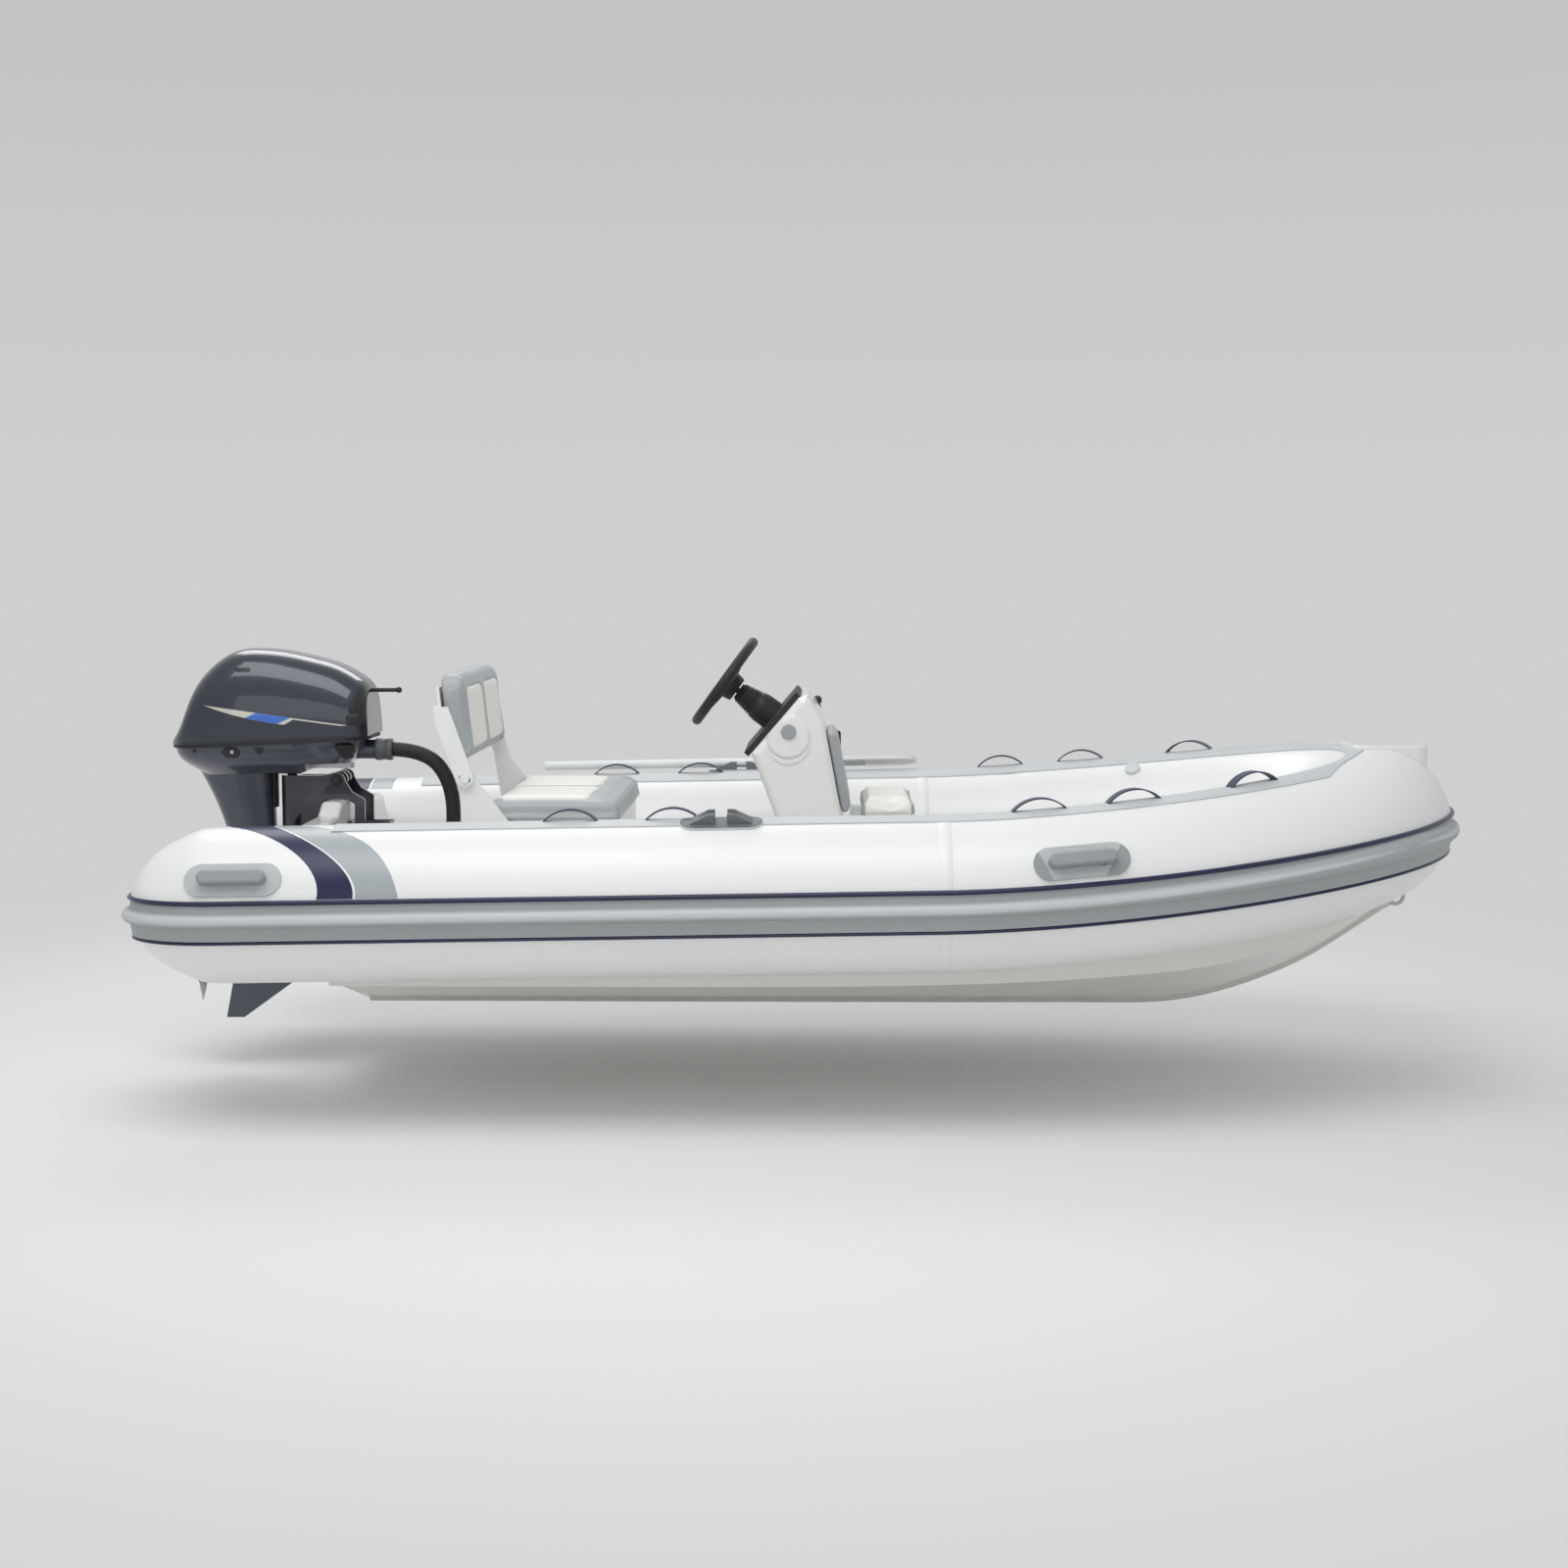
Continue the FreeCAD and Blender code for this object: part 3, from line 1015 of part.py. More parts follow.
# Rigging hose: runs joined by tangent arcs, from the engine's gland to the deck's
deck_gland = cylinder(deck_gland_radius, Vector(hose_foot_x, 0, deck_top), Vector(hose_foot_x, 0, deck_top + deck_gland_height))
stops = [Vector(gland_front + soft_gap, 0, gland_z)] + [Vector(*p) for p in hose_route] + [Vector(hose_foot_x, 0, deck_top + deck_gland_height + hose_foot_gap)]
edges, here = [], stops[0]
for before, corner, after in zip(stops, stops[1:], stops[2:]):
    back, on = before.sub(corner), after.sub(corner)
    run = min(back.Length, on.Length)
    back, on = back.normalize(), on.normalize()
    half_turn = (math.pi - back.getAngle(on)) / 2
    cut = 0.45 * run
    first, last = corner.add(Vector(back).multiply(cut)), corner.add(Vector(on).multiply(cut))
    bend = cut / math.tan(half_turn)
    middle = corner.add(back.add(on).normalize().multiply(math.hypot(cut, bend) - bend))
    edges += [Part.makeLine(here, first), Part.Arc(first, middle, last).toShape()]
    here = last
edges.append(Part.makeLine(here, stops[-1]))
hose_path = Part.Wire(edges)
rigging_hose = hose_path.makePipeShell([Part.Wire([Part.makeCircle(hose_radius, stops[0], ahead)])], True, False)

os.makedirs("parts", exist_ok=True)
nodes = {
    "tube_starboard": tube_starboard, "tube_port": tube_port, "tube_bow": tube_bow, "fender": fender, "wear_patches": wear_patches,
    "hull": hull, "keel_guard": keel_guard, "deck": deck, "bow_locker": bow_locker, "transom": transom,
    "grab_handles": grab_handles, "lift_handles": lift_handles, "oar_clips": oar_clips, "valves": valves, "paddle": paddle,
    "nose_plate": nose_plate, "bow_eye": bow_eye,
    "console_shell": console_shell, "console_cap": console_cap, "console_dash": console_dash, "console_cushion": console_cushion,
    "helm_hub": helm_hub, "steering_wheel": steering_wheel, "remote_control": remote_control,
    "front_seat": front_seat, "front_cushion": front_cushion,
    "seat_base": seat_base, "seat_arms": seat_arms, "seat_cushion": seat_cushion, "backrest_frame": backrest_frame, "backrest_cushion": backrest_cushion,
    "clamp_bracket": clamp_bracket, "swivel_bracket": swivel_bracket, "swivel_pin": swivel_pin, "steering_arm": steering_arm,
    "engine_pan": engine_pan, "cowl_seal": cowl_seal, "engine_cowl": engine_cowl, "cowl_handle": cowl_handle, "engine_block": engine_block,
    "engine_casing": engine_casing, "gearcase": gearcase, "propeller": propeller, "deck_gland": deck_gland, "rigging_hose": rigging_hose,
}
for name, shape in nodes.items():
    save(name, shape)
    bounds = shape.BoundBox
    print(name, shape.ShapeType, len(shape.Solids), shape.isValid(), round(shape.Volume / 1e6, 3), [round(v) for v in (bounds.XMin, bounds.XMax, bounds.YMin, bounds.YMax, bounds.ZMin, bounds.ZMax)])
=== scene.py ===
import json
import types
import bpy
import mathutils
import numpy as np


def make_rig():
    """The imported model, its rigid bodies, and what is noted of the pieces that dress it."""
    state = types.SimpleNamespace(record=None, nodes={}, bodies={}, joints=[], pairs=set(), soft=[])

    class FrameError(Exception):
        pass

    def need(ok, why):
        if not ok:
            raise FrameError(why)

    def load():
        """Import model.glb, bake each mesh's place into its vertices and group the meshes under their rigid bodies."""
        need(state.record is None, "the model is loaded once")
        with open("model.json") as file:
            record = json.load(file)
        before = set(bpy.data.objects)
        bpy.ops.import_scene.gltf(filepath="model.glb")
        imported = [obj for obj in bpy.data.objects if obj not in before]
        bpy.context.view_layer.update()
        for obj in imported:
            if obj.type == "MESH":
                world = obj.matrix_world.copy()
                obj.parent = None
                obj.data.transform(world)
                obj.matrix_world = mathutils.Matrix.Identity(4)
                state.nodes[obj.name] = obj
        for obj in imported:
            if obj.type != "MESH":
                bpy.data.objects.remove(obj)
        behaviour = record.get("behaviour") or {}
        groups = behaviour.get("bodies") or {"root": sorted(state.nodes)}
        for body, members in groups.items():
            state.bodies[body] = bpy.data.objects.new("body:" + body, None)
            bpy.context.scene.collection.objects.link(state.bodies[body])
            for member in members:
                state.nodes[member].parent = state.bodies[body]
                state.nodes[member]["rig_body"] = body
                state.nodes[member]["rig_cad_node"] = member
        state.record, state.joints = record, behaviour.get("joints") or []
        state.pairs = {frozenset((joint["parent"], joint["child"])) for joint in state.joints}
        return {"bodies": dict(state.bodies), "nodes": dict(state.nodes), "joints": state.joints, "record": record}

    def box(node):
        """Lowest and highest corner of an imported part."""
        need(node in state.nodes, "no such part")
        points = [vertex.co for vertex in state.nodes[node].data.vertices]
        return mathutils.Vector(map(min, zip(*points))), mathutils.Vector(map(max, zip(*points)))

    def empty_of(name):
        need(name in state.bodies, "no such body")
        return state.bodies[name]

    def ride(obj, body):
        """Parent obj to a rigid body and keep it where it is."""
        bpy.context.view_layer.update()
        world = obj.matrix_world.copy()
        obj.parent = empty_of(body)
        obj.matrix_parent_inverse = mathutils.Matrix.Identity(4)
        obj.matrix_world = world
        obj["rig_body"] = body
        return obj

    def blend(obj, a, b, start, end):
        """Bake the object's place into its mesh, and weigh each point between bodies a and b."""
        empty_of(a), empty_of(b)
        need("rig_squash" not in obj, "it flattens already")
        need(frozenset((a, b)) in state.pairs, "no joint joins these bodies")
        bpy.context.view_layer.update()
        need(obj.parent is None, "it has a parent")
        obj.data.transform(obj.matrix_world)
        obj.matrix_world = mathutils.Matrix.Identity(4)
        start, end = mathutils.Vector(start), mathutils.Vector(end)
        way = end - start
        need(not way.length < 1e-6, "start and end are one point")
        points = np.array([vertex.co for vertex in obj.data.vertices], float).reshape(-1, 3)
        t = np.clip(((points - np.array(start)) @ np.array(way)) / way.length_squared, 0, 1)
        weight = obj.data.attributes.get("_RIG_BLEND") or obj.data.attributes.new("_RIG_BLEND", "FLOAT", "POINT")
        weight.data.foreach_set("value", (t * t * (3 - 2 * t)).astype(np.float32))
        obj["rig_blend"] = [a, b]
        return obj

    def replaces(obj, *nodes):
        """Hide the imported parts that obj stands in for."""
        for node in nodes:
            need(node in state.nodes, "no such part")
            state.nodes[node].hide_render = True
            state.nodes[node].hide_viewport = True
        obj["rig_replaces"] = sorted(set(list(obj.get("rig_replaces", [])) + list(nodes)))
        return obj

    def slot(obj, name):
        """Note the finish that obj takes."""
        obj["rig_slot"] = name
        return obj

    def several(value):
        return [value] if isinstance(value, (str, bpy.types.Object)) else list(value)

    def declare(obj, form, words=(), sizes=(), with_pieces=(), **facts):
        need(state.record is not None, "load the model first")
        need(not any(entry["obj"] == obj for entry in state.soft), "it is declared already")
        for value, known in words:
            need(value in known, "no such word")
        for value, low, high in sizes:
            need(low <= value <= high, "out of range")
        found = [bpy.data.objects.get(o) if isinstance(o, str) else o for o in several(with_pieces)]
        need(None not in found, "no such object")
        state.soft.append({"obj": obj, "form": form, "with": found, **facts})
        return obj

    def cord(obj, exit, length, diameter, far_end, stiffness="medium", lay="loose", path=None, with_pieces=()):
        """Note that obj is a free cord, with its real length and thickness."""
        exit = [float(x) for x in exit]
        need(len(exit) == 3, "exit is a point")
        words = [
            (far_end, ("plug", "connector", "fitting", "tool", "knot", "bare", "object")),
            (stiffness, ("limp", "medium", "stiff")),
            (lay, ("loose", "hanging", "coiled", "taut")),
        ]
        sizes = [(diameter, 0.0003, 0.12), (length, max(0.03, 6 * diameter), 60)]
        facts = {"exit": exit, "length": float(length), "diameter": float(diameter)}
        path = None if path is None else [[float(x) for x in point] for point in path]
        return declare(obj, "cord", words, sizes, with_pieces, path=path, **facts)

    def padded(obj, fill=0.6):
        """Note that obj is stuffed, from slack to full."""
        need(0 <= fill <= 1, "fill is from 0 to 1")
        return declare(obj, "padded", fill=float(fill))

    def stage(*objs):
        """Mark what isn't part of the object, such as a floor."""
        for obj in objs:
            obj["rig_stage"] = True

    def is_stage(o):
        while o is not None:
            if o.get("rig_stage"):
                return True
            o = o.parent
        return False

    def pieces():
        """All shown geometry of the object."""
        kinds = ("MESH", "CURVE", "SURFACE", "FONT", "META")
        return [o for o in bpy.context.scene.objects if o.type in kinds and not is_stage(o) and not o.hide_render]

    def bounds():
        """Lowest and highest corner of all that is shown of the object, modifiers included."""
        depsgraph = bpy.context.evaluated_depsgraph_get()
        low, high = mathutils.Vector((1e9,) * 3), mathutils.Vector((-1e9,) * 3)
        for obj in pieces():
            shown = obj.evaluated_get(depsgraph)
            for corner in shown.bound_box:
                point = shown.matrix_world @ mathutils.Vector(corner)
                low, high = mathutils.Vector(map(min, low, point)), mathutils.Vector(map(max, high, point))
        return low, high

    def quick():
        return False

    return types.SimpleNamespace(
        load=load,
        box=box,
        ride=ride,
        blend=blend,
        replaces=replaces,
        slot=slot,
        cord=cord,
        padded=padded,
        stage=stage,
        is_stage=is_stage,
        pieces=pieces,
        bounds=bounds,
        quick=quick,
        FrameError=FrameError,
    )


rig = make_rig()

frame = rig.load()
cad_low, cad_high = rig.bounds()

# %% [markdown]
# # Dressing an inflatable rib boat
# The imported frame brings 45 rigid parts that already have their true size and place.
# This lesson gives each of them a finish, and adds what a solid can't show well: cushions, a ribbed hose,
# webbing, trim and small fittings.
# Everything is in metres. +X is forward, -Y is starboard, +Z is up, and the origin is at the waterline.

# %% Tools and the frame's parts
import json
import math

import bpy
import bmesh
import numpy as np
from mathutils import Matrix, Vector

scene = bpy.context.scene
scene.view_settings.view_transform = "Standard"
forward, portward, upward = Vector((1, 0, 0)), Vector((0, 1, 0)), Vector((0, 0, 1))
cad_nodes = frame["nodes"]
print(len(cad_nodes), "parts,", len(frame["joints"]), "joints")

# %% [markdown]
# ## Camera
# The picture was taken from starboard, a little above the tubes, with a longish lens.
# Matching its place first means that every later render can be laid beside the picture.

# %% Camera
camera_data = bpy.data.cameras.new("starboard_view")
camera_data.sensor_width = 36.0
camera_data.lens = 53.4
camera = bpy.data.objects.new("starboard_view", camera_data)
scene.collection.objects.link(camera)
camera.location = (-0.01, -6.74, 1.084)
camera.rotation_euler = (math.radians(90 - 5.416), 0.0, math.radians(1.0095))
scene.camera = camera
print("camera at", tuple(round(c, 3) for c in camera.location))

# %% [markdown]
# ## Mesh helpers
# Most pieces are rings of points joined into a skin: a hose, a bead, a cushion rim.
# One skinning function covers them, so each piece's own cell only holds its shape.


# %% Mesh helpers
def add_mesh(name, points, faces, smooth=True):
    mesh = bpy.data.meshes.new(name)
    mesh.from_pydata([tuple(p) for p in points], [], faces)
    mesh.validate()
    mesh.polygons.foreach_set("use_smooth", [smooth] * len(mesh.polygons))
    obj = bpy.data.objects.new(name, mesh)
    scene.collection.objects.link(obj)
    tidy = bmesh.new()
    tidy.from_mesh(mesh)
    bmesh.ops.recalc_face_normals(tidy, faces=tidy.faces)
    tidy.to_mesh(mesh)
    tidy.free()
    return obj


def skin(rings, capped=True, closed=False):
    """Points and faces of a skin over rings of equal length."""
    count, size = len(rings), len(rings[0])
    points = [p for ring in rings for p in ring]
    faces = []
    for i in range(count if closed else count - 1):
        a, b = i * size, (i + 1) % count * size
        for j in range(size):
            k = (j + 1) % size
            faces.append((a + j, a + k, b + k, b + j))
    if capped and not closed:
        faces.append(tuple(reversed(range(size))))
        faces.append(tuple((count - 1) * size + j for j in range(size)))
    return points, faces


def turns_of(steps):
    """Evenly spaced angles of one full turn."""
    return [2 * math.pi * i / steps for i in range(steps)]


def circle(radius, steps):
    return [(radius * math.cos(t), radius * math.sin(t)) for t in turns_of(steps)]


def run_length(line):
    return sum((b - a).length for a, b in zip(line, line[1:]))


def resample(line, step):
    """The same line with points an even step apart."""
    lengths = [0.0]
    for a, b in zip(line, line[1:]):
        lengths.append(lengths[-1] + (b - a).length)
    count = max(2, round(lengths[-1] / step))
    result, k = [], 0
    for i in range(count + 1):
        want = lengths[-1] * i / count
        while k < len(line) - 2 and lengths[k + 1] < want:
            k += 1
        share = (want - lengths[k]) / max(lengths[k + 1] - lengths[k], 1e-9)
        result.append(line[k].lerp(line[k + 1], min(1.0, max(0.0, share))))
    return result


def join_parts(name, parts):
    """One mesh from several (points, faces) pairs."""
    points, faces = [], []
    for part_points, part_faces in parts:
        base = len(points)
        points += part_points
        faces += [tuple(base + i for i in face) for face in part_faces]
    return add_mesh(name, points, faces)


print("helpers ready")

# %% [markdown]
# ## Rigging hose
# The engine's cables and fuel line run in one stiff corrugated hose, 43 mm across.
# It leaves the engine's gland, turns down in a high bow and goes through a gland in the deck, so it has two
# fixed ends.
# The route is one smooth curve through the source's control points, and the corrugations are rings set along it.

# %% Hose route
hose_radius = 0.0215
hose_points = [
    (-1.2677, 0.0, 0.545),
    (-1.170, 0.0, 0.541),
    (-1.098, 0.0, 0.448),
    (-1.092, 0.0, 0.300),
    (-1.130, 0.0, 0.195),
    (-1.130, 0.0, 0.0990),
]
route = bpy.data.curves.new("hose_route", "CURVE")
route.dimensions = "3D"
route.resolution_u = 32
route_spline = route.splines.new("NURBS")
route_spline.points.add(len(hose_points) - 1)
for control, point in zip(route_spline.points, hose_points):
    control.co = (*point, 1.0)
route_spline.order_u = 3
route_spline.use_endpoint_u = True
route_object = bpy.data.objects.new("hose_route", route)
scene.collection.objects.link(route_object)
route_mesh = bpy.data.meshes.new_from_object(route_object)
hose_line = [v.co.copy() for v in route_mesh.vertices]
bpy.data.objects.remove(route_object)
hose_length = run_length(hose_line)
print("hose length", round(hose_length, 4))


# %% Corrugated hose, in two runs that meet at the swivel
rib_pitch, rib_depth, rings_per_rib = 0.0075, 0.0011, 5


def corrugated(name, line):
    """Rings square to the line, which lies in the boat's middle plane."""
    centres = resample(line, rib_pitch / rings_per_rib)
    last = len(centres) - 1
    ribs = round(last / rings_per_rib)
    rings = []
    for i, here in enumerate(centres):
        ahead = (centres[min(i + 1, last)] - centres[max(i - 1, 0)]).normalized()
        side = ahead.cross(portward).normalized()
        above = side.cross(ahead)
        wave = 0.5 + 0.5 * math.cos(2 * math.pi * i / last * ribs)
        ring = circle(hose_radius - rib_depth * (1 - wave) ** 2, 28)
        rings.append([here + side * u + above * v for u, v in ring])
    return add_mesh(name, *skin(rings))


split = next(i for i in range(len(hose_line)) if run_length(hose_line[: i + 1]) > hose_length / 2)
upper_line, lower_line = hose_line[: split + 1], hose_line[split:]
hose_upper = corrugated("hose_upper", upper_line)
hose_lower = corrugated("hose_lower", lower_line)
for hose, line in ((hose_upper, upper_line), (hose_lower, lower_line)):
    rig.cord(
        hose,
        exit=line[0],
        length=run_length(line),
        diameter=2 * hose_radius,
        far_end="object",
        stiffness="stiff",
        lay="loose",
        path=line,
    )
    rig.slot(hose, "hose")
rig.blend(hose_upper, "bracket", "engine", start=hose_line[split], end=hose_line[0])
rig.blend(hose_lower, "boat", "bracket", start=hose_line[-1], end=hose_line[split])
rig.replaces(hose_lower, "rigging_hose")
print("hose runs", len(hose_upper.data.polygons), len(hose_lower.data.polygons))

# %% [markdown]
# ## Floor, backdrop and lamps
# The boat hangs over a pale seamless floor, as in a studio picture, so the whole hull shows.
# Far from the boat the floor takes the backdrop's own colour, which hides the horizon from every side.
# The lamps are large and soft. Together with the world they light a surface at about the level its colour is written.


# %% Colour and node helpers
def tint(red, green, blue):
    """A colour picked as 0 to 255 screen values, as linear light."""
    share = [c / 255 for c in (red, green, blue)]
    return (*[c / 12.92 if c <= 0.04045 else ((c + 0.055) / 1.055) ** 2.4 for c in share], 1.0)


def feed(tree, target, value):
    """Links a socket, or sets a constant."""
    if isinstance(value, bpy.types.NodeSocket):
        tree.links.new(value, target)
    else:
        target.default_value = value


def place_node(tree, kind, inputs=None, **settings):
    node = tree.nodes.new(kind)
    for key, value in settings.items():
        setattr(node, key, value)
    for socket, value in (inputs or {}).items():
        feed(tree, node.inputs[socket], value)
    return node


def maths(tree, operation, *values, clamp=False):
    node = place_node(tree, "ShaderNodeMath", dict(enumerate(values)), operation=operation, use_clamp=clamp)
    return node.outputs[0]


def soft_step(tree, value, low, high):
    """Eases from 0 at the low value to 1 at the high one."""
    inputs = {"Value": value, "From Min": low, "From Max": high}
    return place_node(tree, "ShaderNodeMapRange", inputs, interpolation_type="SMOOTHSTEP").outputs["Result"]


def mix_colour(tree, mask, a, b):
    node = place_node(tree, "ShaderNodeMix", {"Factor": mask, "A": a, "B": b}, data_type="RGBA")
    return node.outputs["Result"]


print("node helpers ready")

# %% Backdrop: a world whose seen colour is soft grey, lighter at the horizon
backdrop_low, backdrop_high = tint(207, 207, 207), tint(190, 190, 191)
sky_colour, sky_strength = tint(236, 238, 240), 0.64
world = bpy.data.worlds.new("studio")
scene.world = world
world.use_nodes = True
tree = world.node_tree
tree.nodes.clear()
way = place_node(tree, "ShaderNodeTexCoord").outputs["Generated"]
climb = soft_step(tree, place_node(tree, "ShaderNodeSeparateXYZ", {0: way}).outputs["Z"], -0.02, 0.34)
seen_sky = place_node(tree, "ShaderNodeBackground", {"Color": mix_colour(tree, climb, backdrop_low, backdrop_high)})
lit_sky = place_node(tree, "ShaderNodeBackground", {"Color": sky_colour, "Strength": sky_strength})
rays = place_node(tree, "ShaderNodeLightPath").outputs
is_seen = maths(tree, "MAXIMUM", rays["Is Camera Ray"], rays["Is Transmission Ray"])
sky = place_node(tree, "ShaderNodeMixShader", {"Fac": is_seen, 1: lit_sky.outputs[0], 2: seen_sky.outputs[0]})
place_node(tree, "ShaderNodeOutputWorld", {"Surface": sky.outputs[0]})
print("world", world.name)

# %% Floor that fades into the backdrop
floor_height, floor_radii = -0.40, (0.5, 3.0, 8.0, 20.0, 60.0)
fade_from, fade_to = 1.2, 5.0
rings = [[Vector((u, v, floor_height)) for u, v in circle(radius, 64)] for radius in floor_radii]
floor = add_mesh("floor", *skin(rings, capped=False), smooth=False)
heart = bmesh.new()
heart.from_mesh(floor.data)
inner_rim = [e for e in heart.edges if e.is_boundary and e.verts[0].co.length < floor_radii[1]]
bmesh.ops.holes_fill(heart, edges=inner_rim)
for face in heart.faces:
    if face.normal.z < 0:
        face.normal_flip()
heart.to_mesh(floor.data)
heart.free()
floor_finish = bpy.data.materials.new("Studio floor")
floor_finish.use_nodes = True
tree = floor_finish.node_tree
tree.nodes.clear()
spot = place_node(tree, "ShaderNodeNewGeometry").outputs["Position"]
reach = place_node(tree, "ShaderNodeVectorMath", {0: spot}, operation="LENGTH").outputs["Value"]
fade = soft_step(tree, reach, fade_from, fade_to)
matte = place_node(tree, "ShaderNodeBsdfDiffuse", {"Color": tint(236, 236, 236)}).outputs[0]
far = place_node(tree, "ShaderNodeEmission", {"Color": backdrop_low}).outputs[0]
faded = place_node(tree, "ShaderNodeMixShader", {"Fac": fade, 1: matte, 2: far})
place_node(tree, "ShaderNodeOutputMaterial", {"Surface": faded.outputs[0]})
floor.data.materials.append(floor_finish)
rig.stage(floor)
print("floor at", floor_height)


# %% Softboxes
def softbox(name, place, aim, width, height, watts):
    lamp = bpy.data.lights.new(name, "AREA")
    lamp.shape = "RECTANGLE"
    lamp.size, lamp.size_y = width, height
    lamp.energy = watts
    holder = bpy.data.objects.new(name, lamp)
    scene.collection.objects.link(holder)
    holder.location = place
    holder.rotation_euler = (Vector(aim) - Vector(place)).to_track_quat("-Z", "Y").to_euler()
    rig.stage(holder)


softbox("key_box", (-1.0, -2.4, 4.3), (-0.2, 0.0, 0.2), 4.5, 2.6, 105)
softbox("back_box", (-1.5, 3.5, 4.0), (0.0, 0.2, 0.3), 4.0, 2.0, 80)
softbox("front_box", (-1.0, -7.5, 2.0), (-0.2, 0.0, 0.2), 5.0, 2.0, 26)
print("three softboxes")

# %% [markdown]
# ## Shared shader groups
# Vinyl grain, colour drift and painted bands come up on many parts.
# Each is a group that puts out only values that change over the surface, so a material can feed them to its
# own shader.
# All of them read the object's own coordinates: a pattern then stays on its part when a joint moves it.


# %% Group helpers
def new_group(name, inputs, outputs):
    """An empty group with its inner sockets. Coordinates are a vector, every other value is a number."""
    group = bpy.data.node_groups.new(name, "ShaderNodeTree")
    for labels, way in ((inputs, "INPUT"), (outputs, "OUTPUT")):
        for label in labels:
            kind = "NodeSocketVector" if label == "Coordinates" else "NodeSocketFloat"
            group.interface.new_socket(label, in_out=way, socket_type=kind)
    return group, group.nodes.new("NodeGroupInput").outputs, group.nodes.new("NodeGroupOutput").inputs


def use_group(tree, group, **values):
    inputs = {label.replace("_", " "): value for label, value in values.items()}
    return place_node(tree, "ShaderNodeGroup", inputs, node_tree=group)


print("group helpers ready")


# %% Group: pebbled grain, with a slow drift of tone
labels = "Coordinates", "Cells per metre", "Drift per metre"
grain_group, start, end = new_group("Pebbled grain", labels, ("Height", "Drift"))
cells = {"Vector": start["Coordinates"], "Scale": start["Cells per metre"], "Smoothness": 0.6}
cells = place_node(grain_group, "ShaderNodeTexVoronoi", cells, feature="SMOOTH_F1")
drift = {"Vector": start["Coordinates"], "Scale": start["Drift per metre"], "Detail": 4.0}
drift = place_node(grain_group, "ShaderNodeTexNoise", drift)
feed(grain_group, end["Height"], cells.outputs["Distance"])
feed(grain_group, end["Drift"], drift.outputs["Fac"])
print(grain_group.name)

# %% Group: woven threads
weave_group, start, end = new_group("Woven threads", ("Coordinates", "Threads per metre"), ("Height",))
parts = place_node(weave_group, "ShaderNodeSeparateXYZ", {0: start["Coordinates"]})
per_metre = maths(weave_group, "MULTIPLY", start["Threads per metre"], 2 * math.pi)
waves = [maths(weave_group, "SINE", maths(weave_group, "MULTIPLY", axis, per_metre)) for axis in parts.outputs]
total = 0.0
for i, j in ((0, 1), (0, 2), (1, 2)):
    total = maths(weave_group, "MULTIPLY_ADD", waves[i], waves[j], total)
feed(weave_group, end["Height"], maths(weave_group, "MULTIPLY_ADD", total, 0.25, 0.5))
print(weave_group.name)

# %% Group: a band between two values, with soft edges
labels = "Value", "Low", "High", "Soft"
band_group, start, end = new_group("Band", labels, ("Mask",))
value, low, high, soft = (start[label] for label in labels)
above = maths(band_group, "DIVIDE", maths(band_group, "SUBTRACT", value, low), soft, clamp=True)
below = maths(band_group, "DIVIDE", maths(band_group, "SUBTRACT", high, value), soft, clamp=True)
feed(band_group, end["Mask"], maths(band_group, "MULTIPLY", above, below))
print(band_group.name)

# %% Group: scuffs, the sparse scratches of handling
scuff_group, start, end = new_group("Scuffs", ("Coordinates", "Scale", "Amount"), ("Mask",))
stretch = {"Vector": start["Coordinates"], "Scale": (0.35, 1.0, 2.6)}
stretch = place_node(scuff_group, "ShaderNodeMapping", stretch)
scratch = {"Vector": stretch.outputs[0], "Scale": start["Scale"], "Detail": 8.0, "Roughness": 0.68}
scratch = place_node(scuff_group, "ShaderNodeTexNoise", scratch)
limit = maths(scuff_group, "MULTIPLY_ADD", start["Amount"], -0.22, 0.72)
excess = maths(scuff_group, "SUBTRACT", scratch.outputs["Fac"], limit)
feed(scuff_group, end["Mask"], maths(scuff_group, "MULTIPLY", excess, 9.0, clamp=True))
print(scuff_group.name)

# %% [markdown]
# ## Finishes
# A finish here is a material with a Principled shader. Its colour drifts a little, its gloss varies, and a
# fine grain lifts the surface.
# The recipe is the same for gelcoat, vinyl, rubber and paint. What differs is the grain's size and depth, the
# gloss, and how much the tone moves.


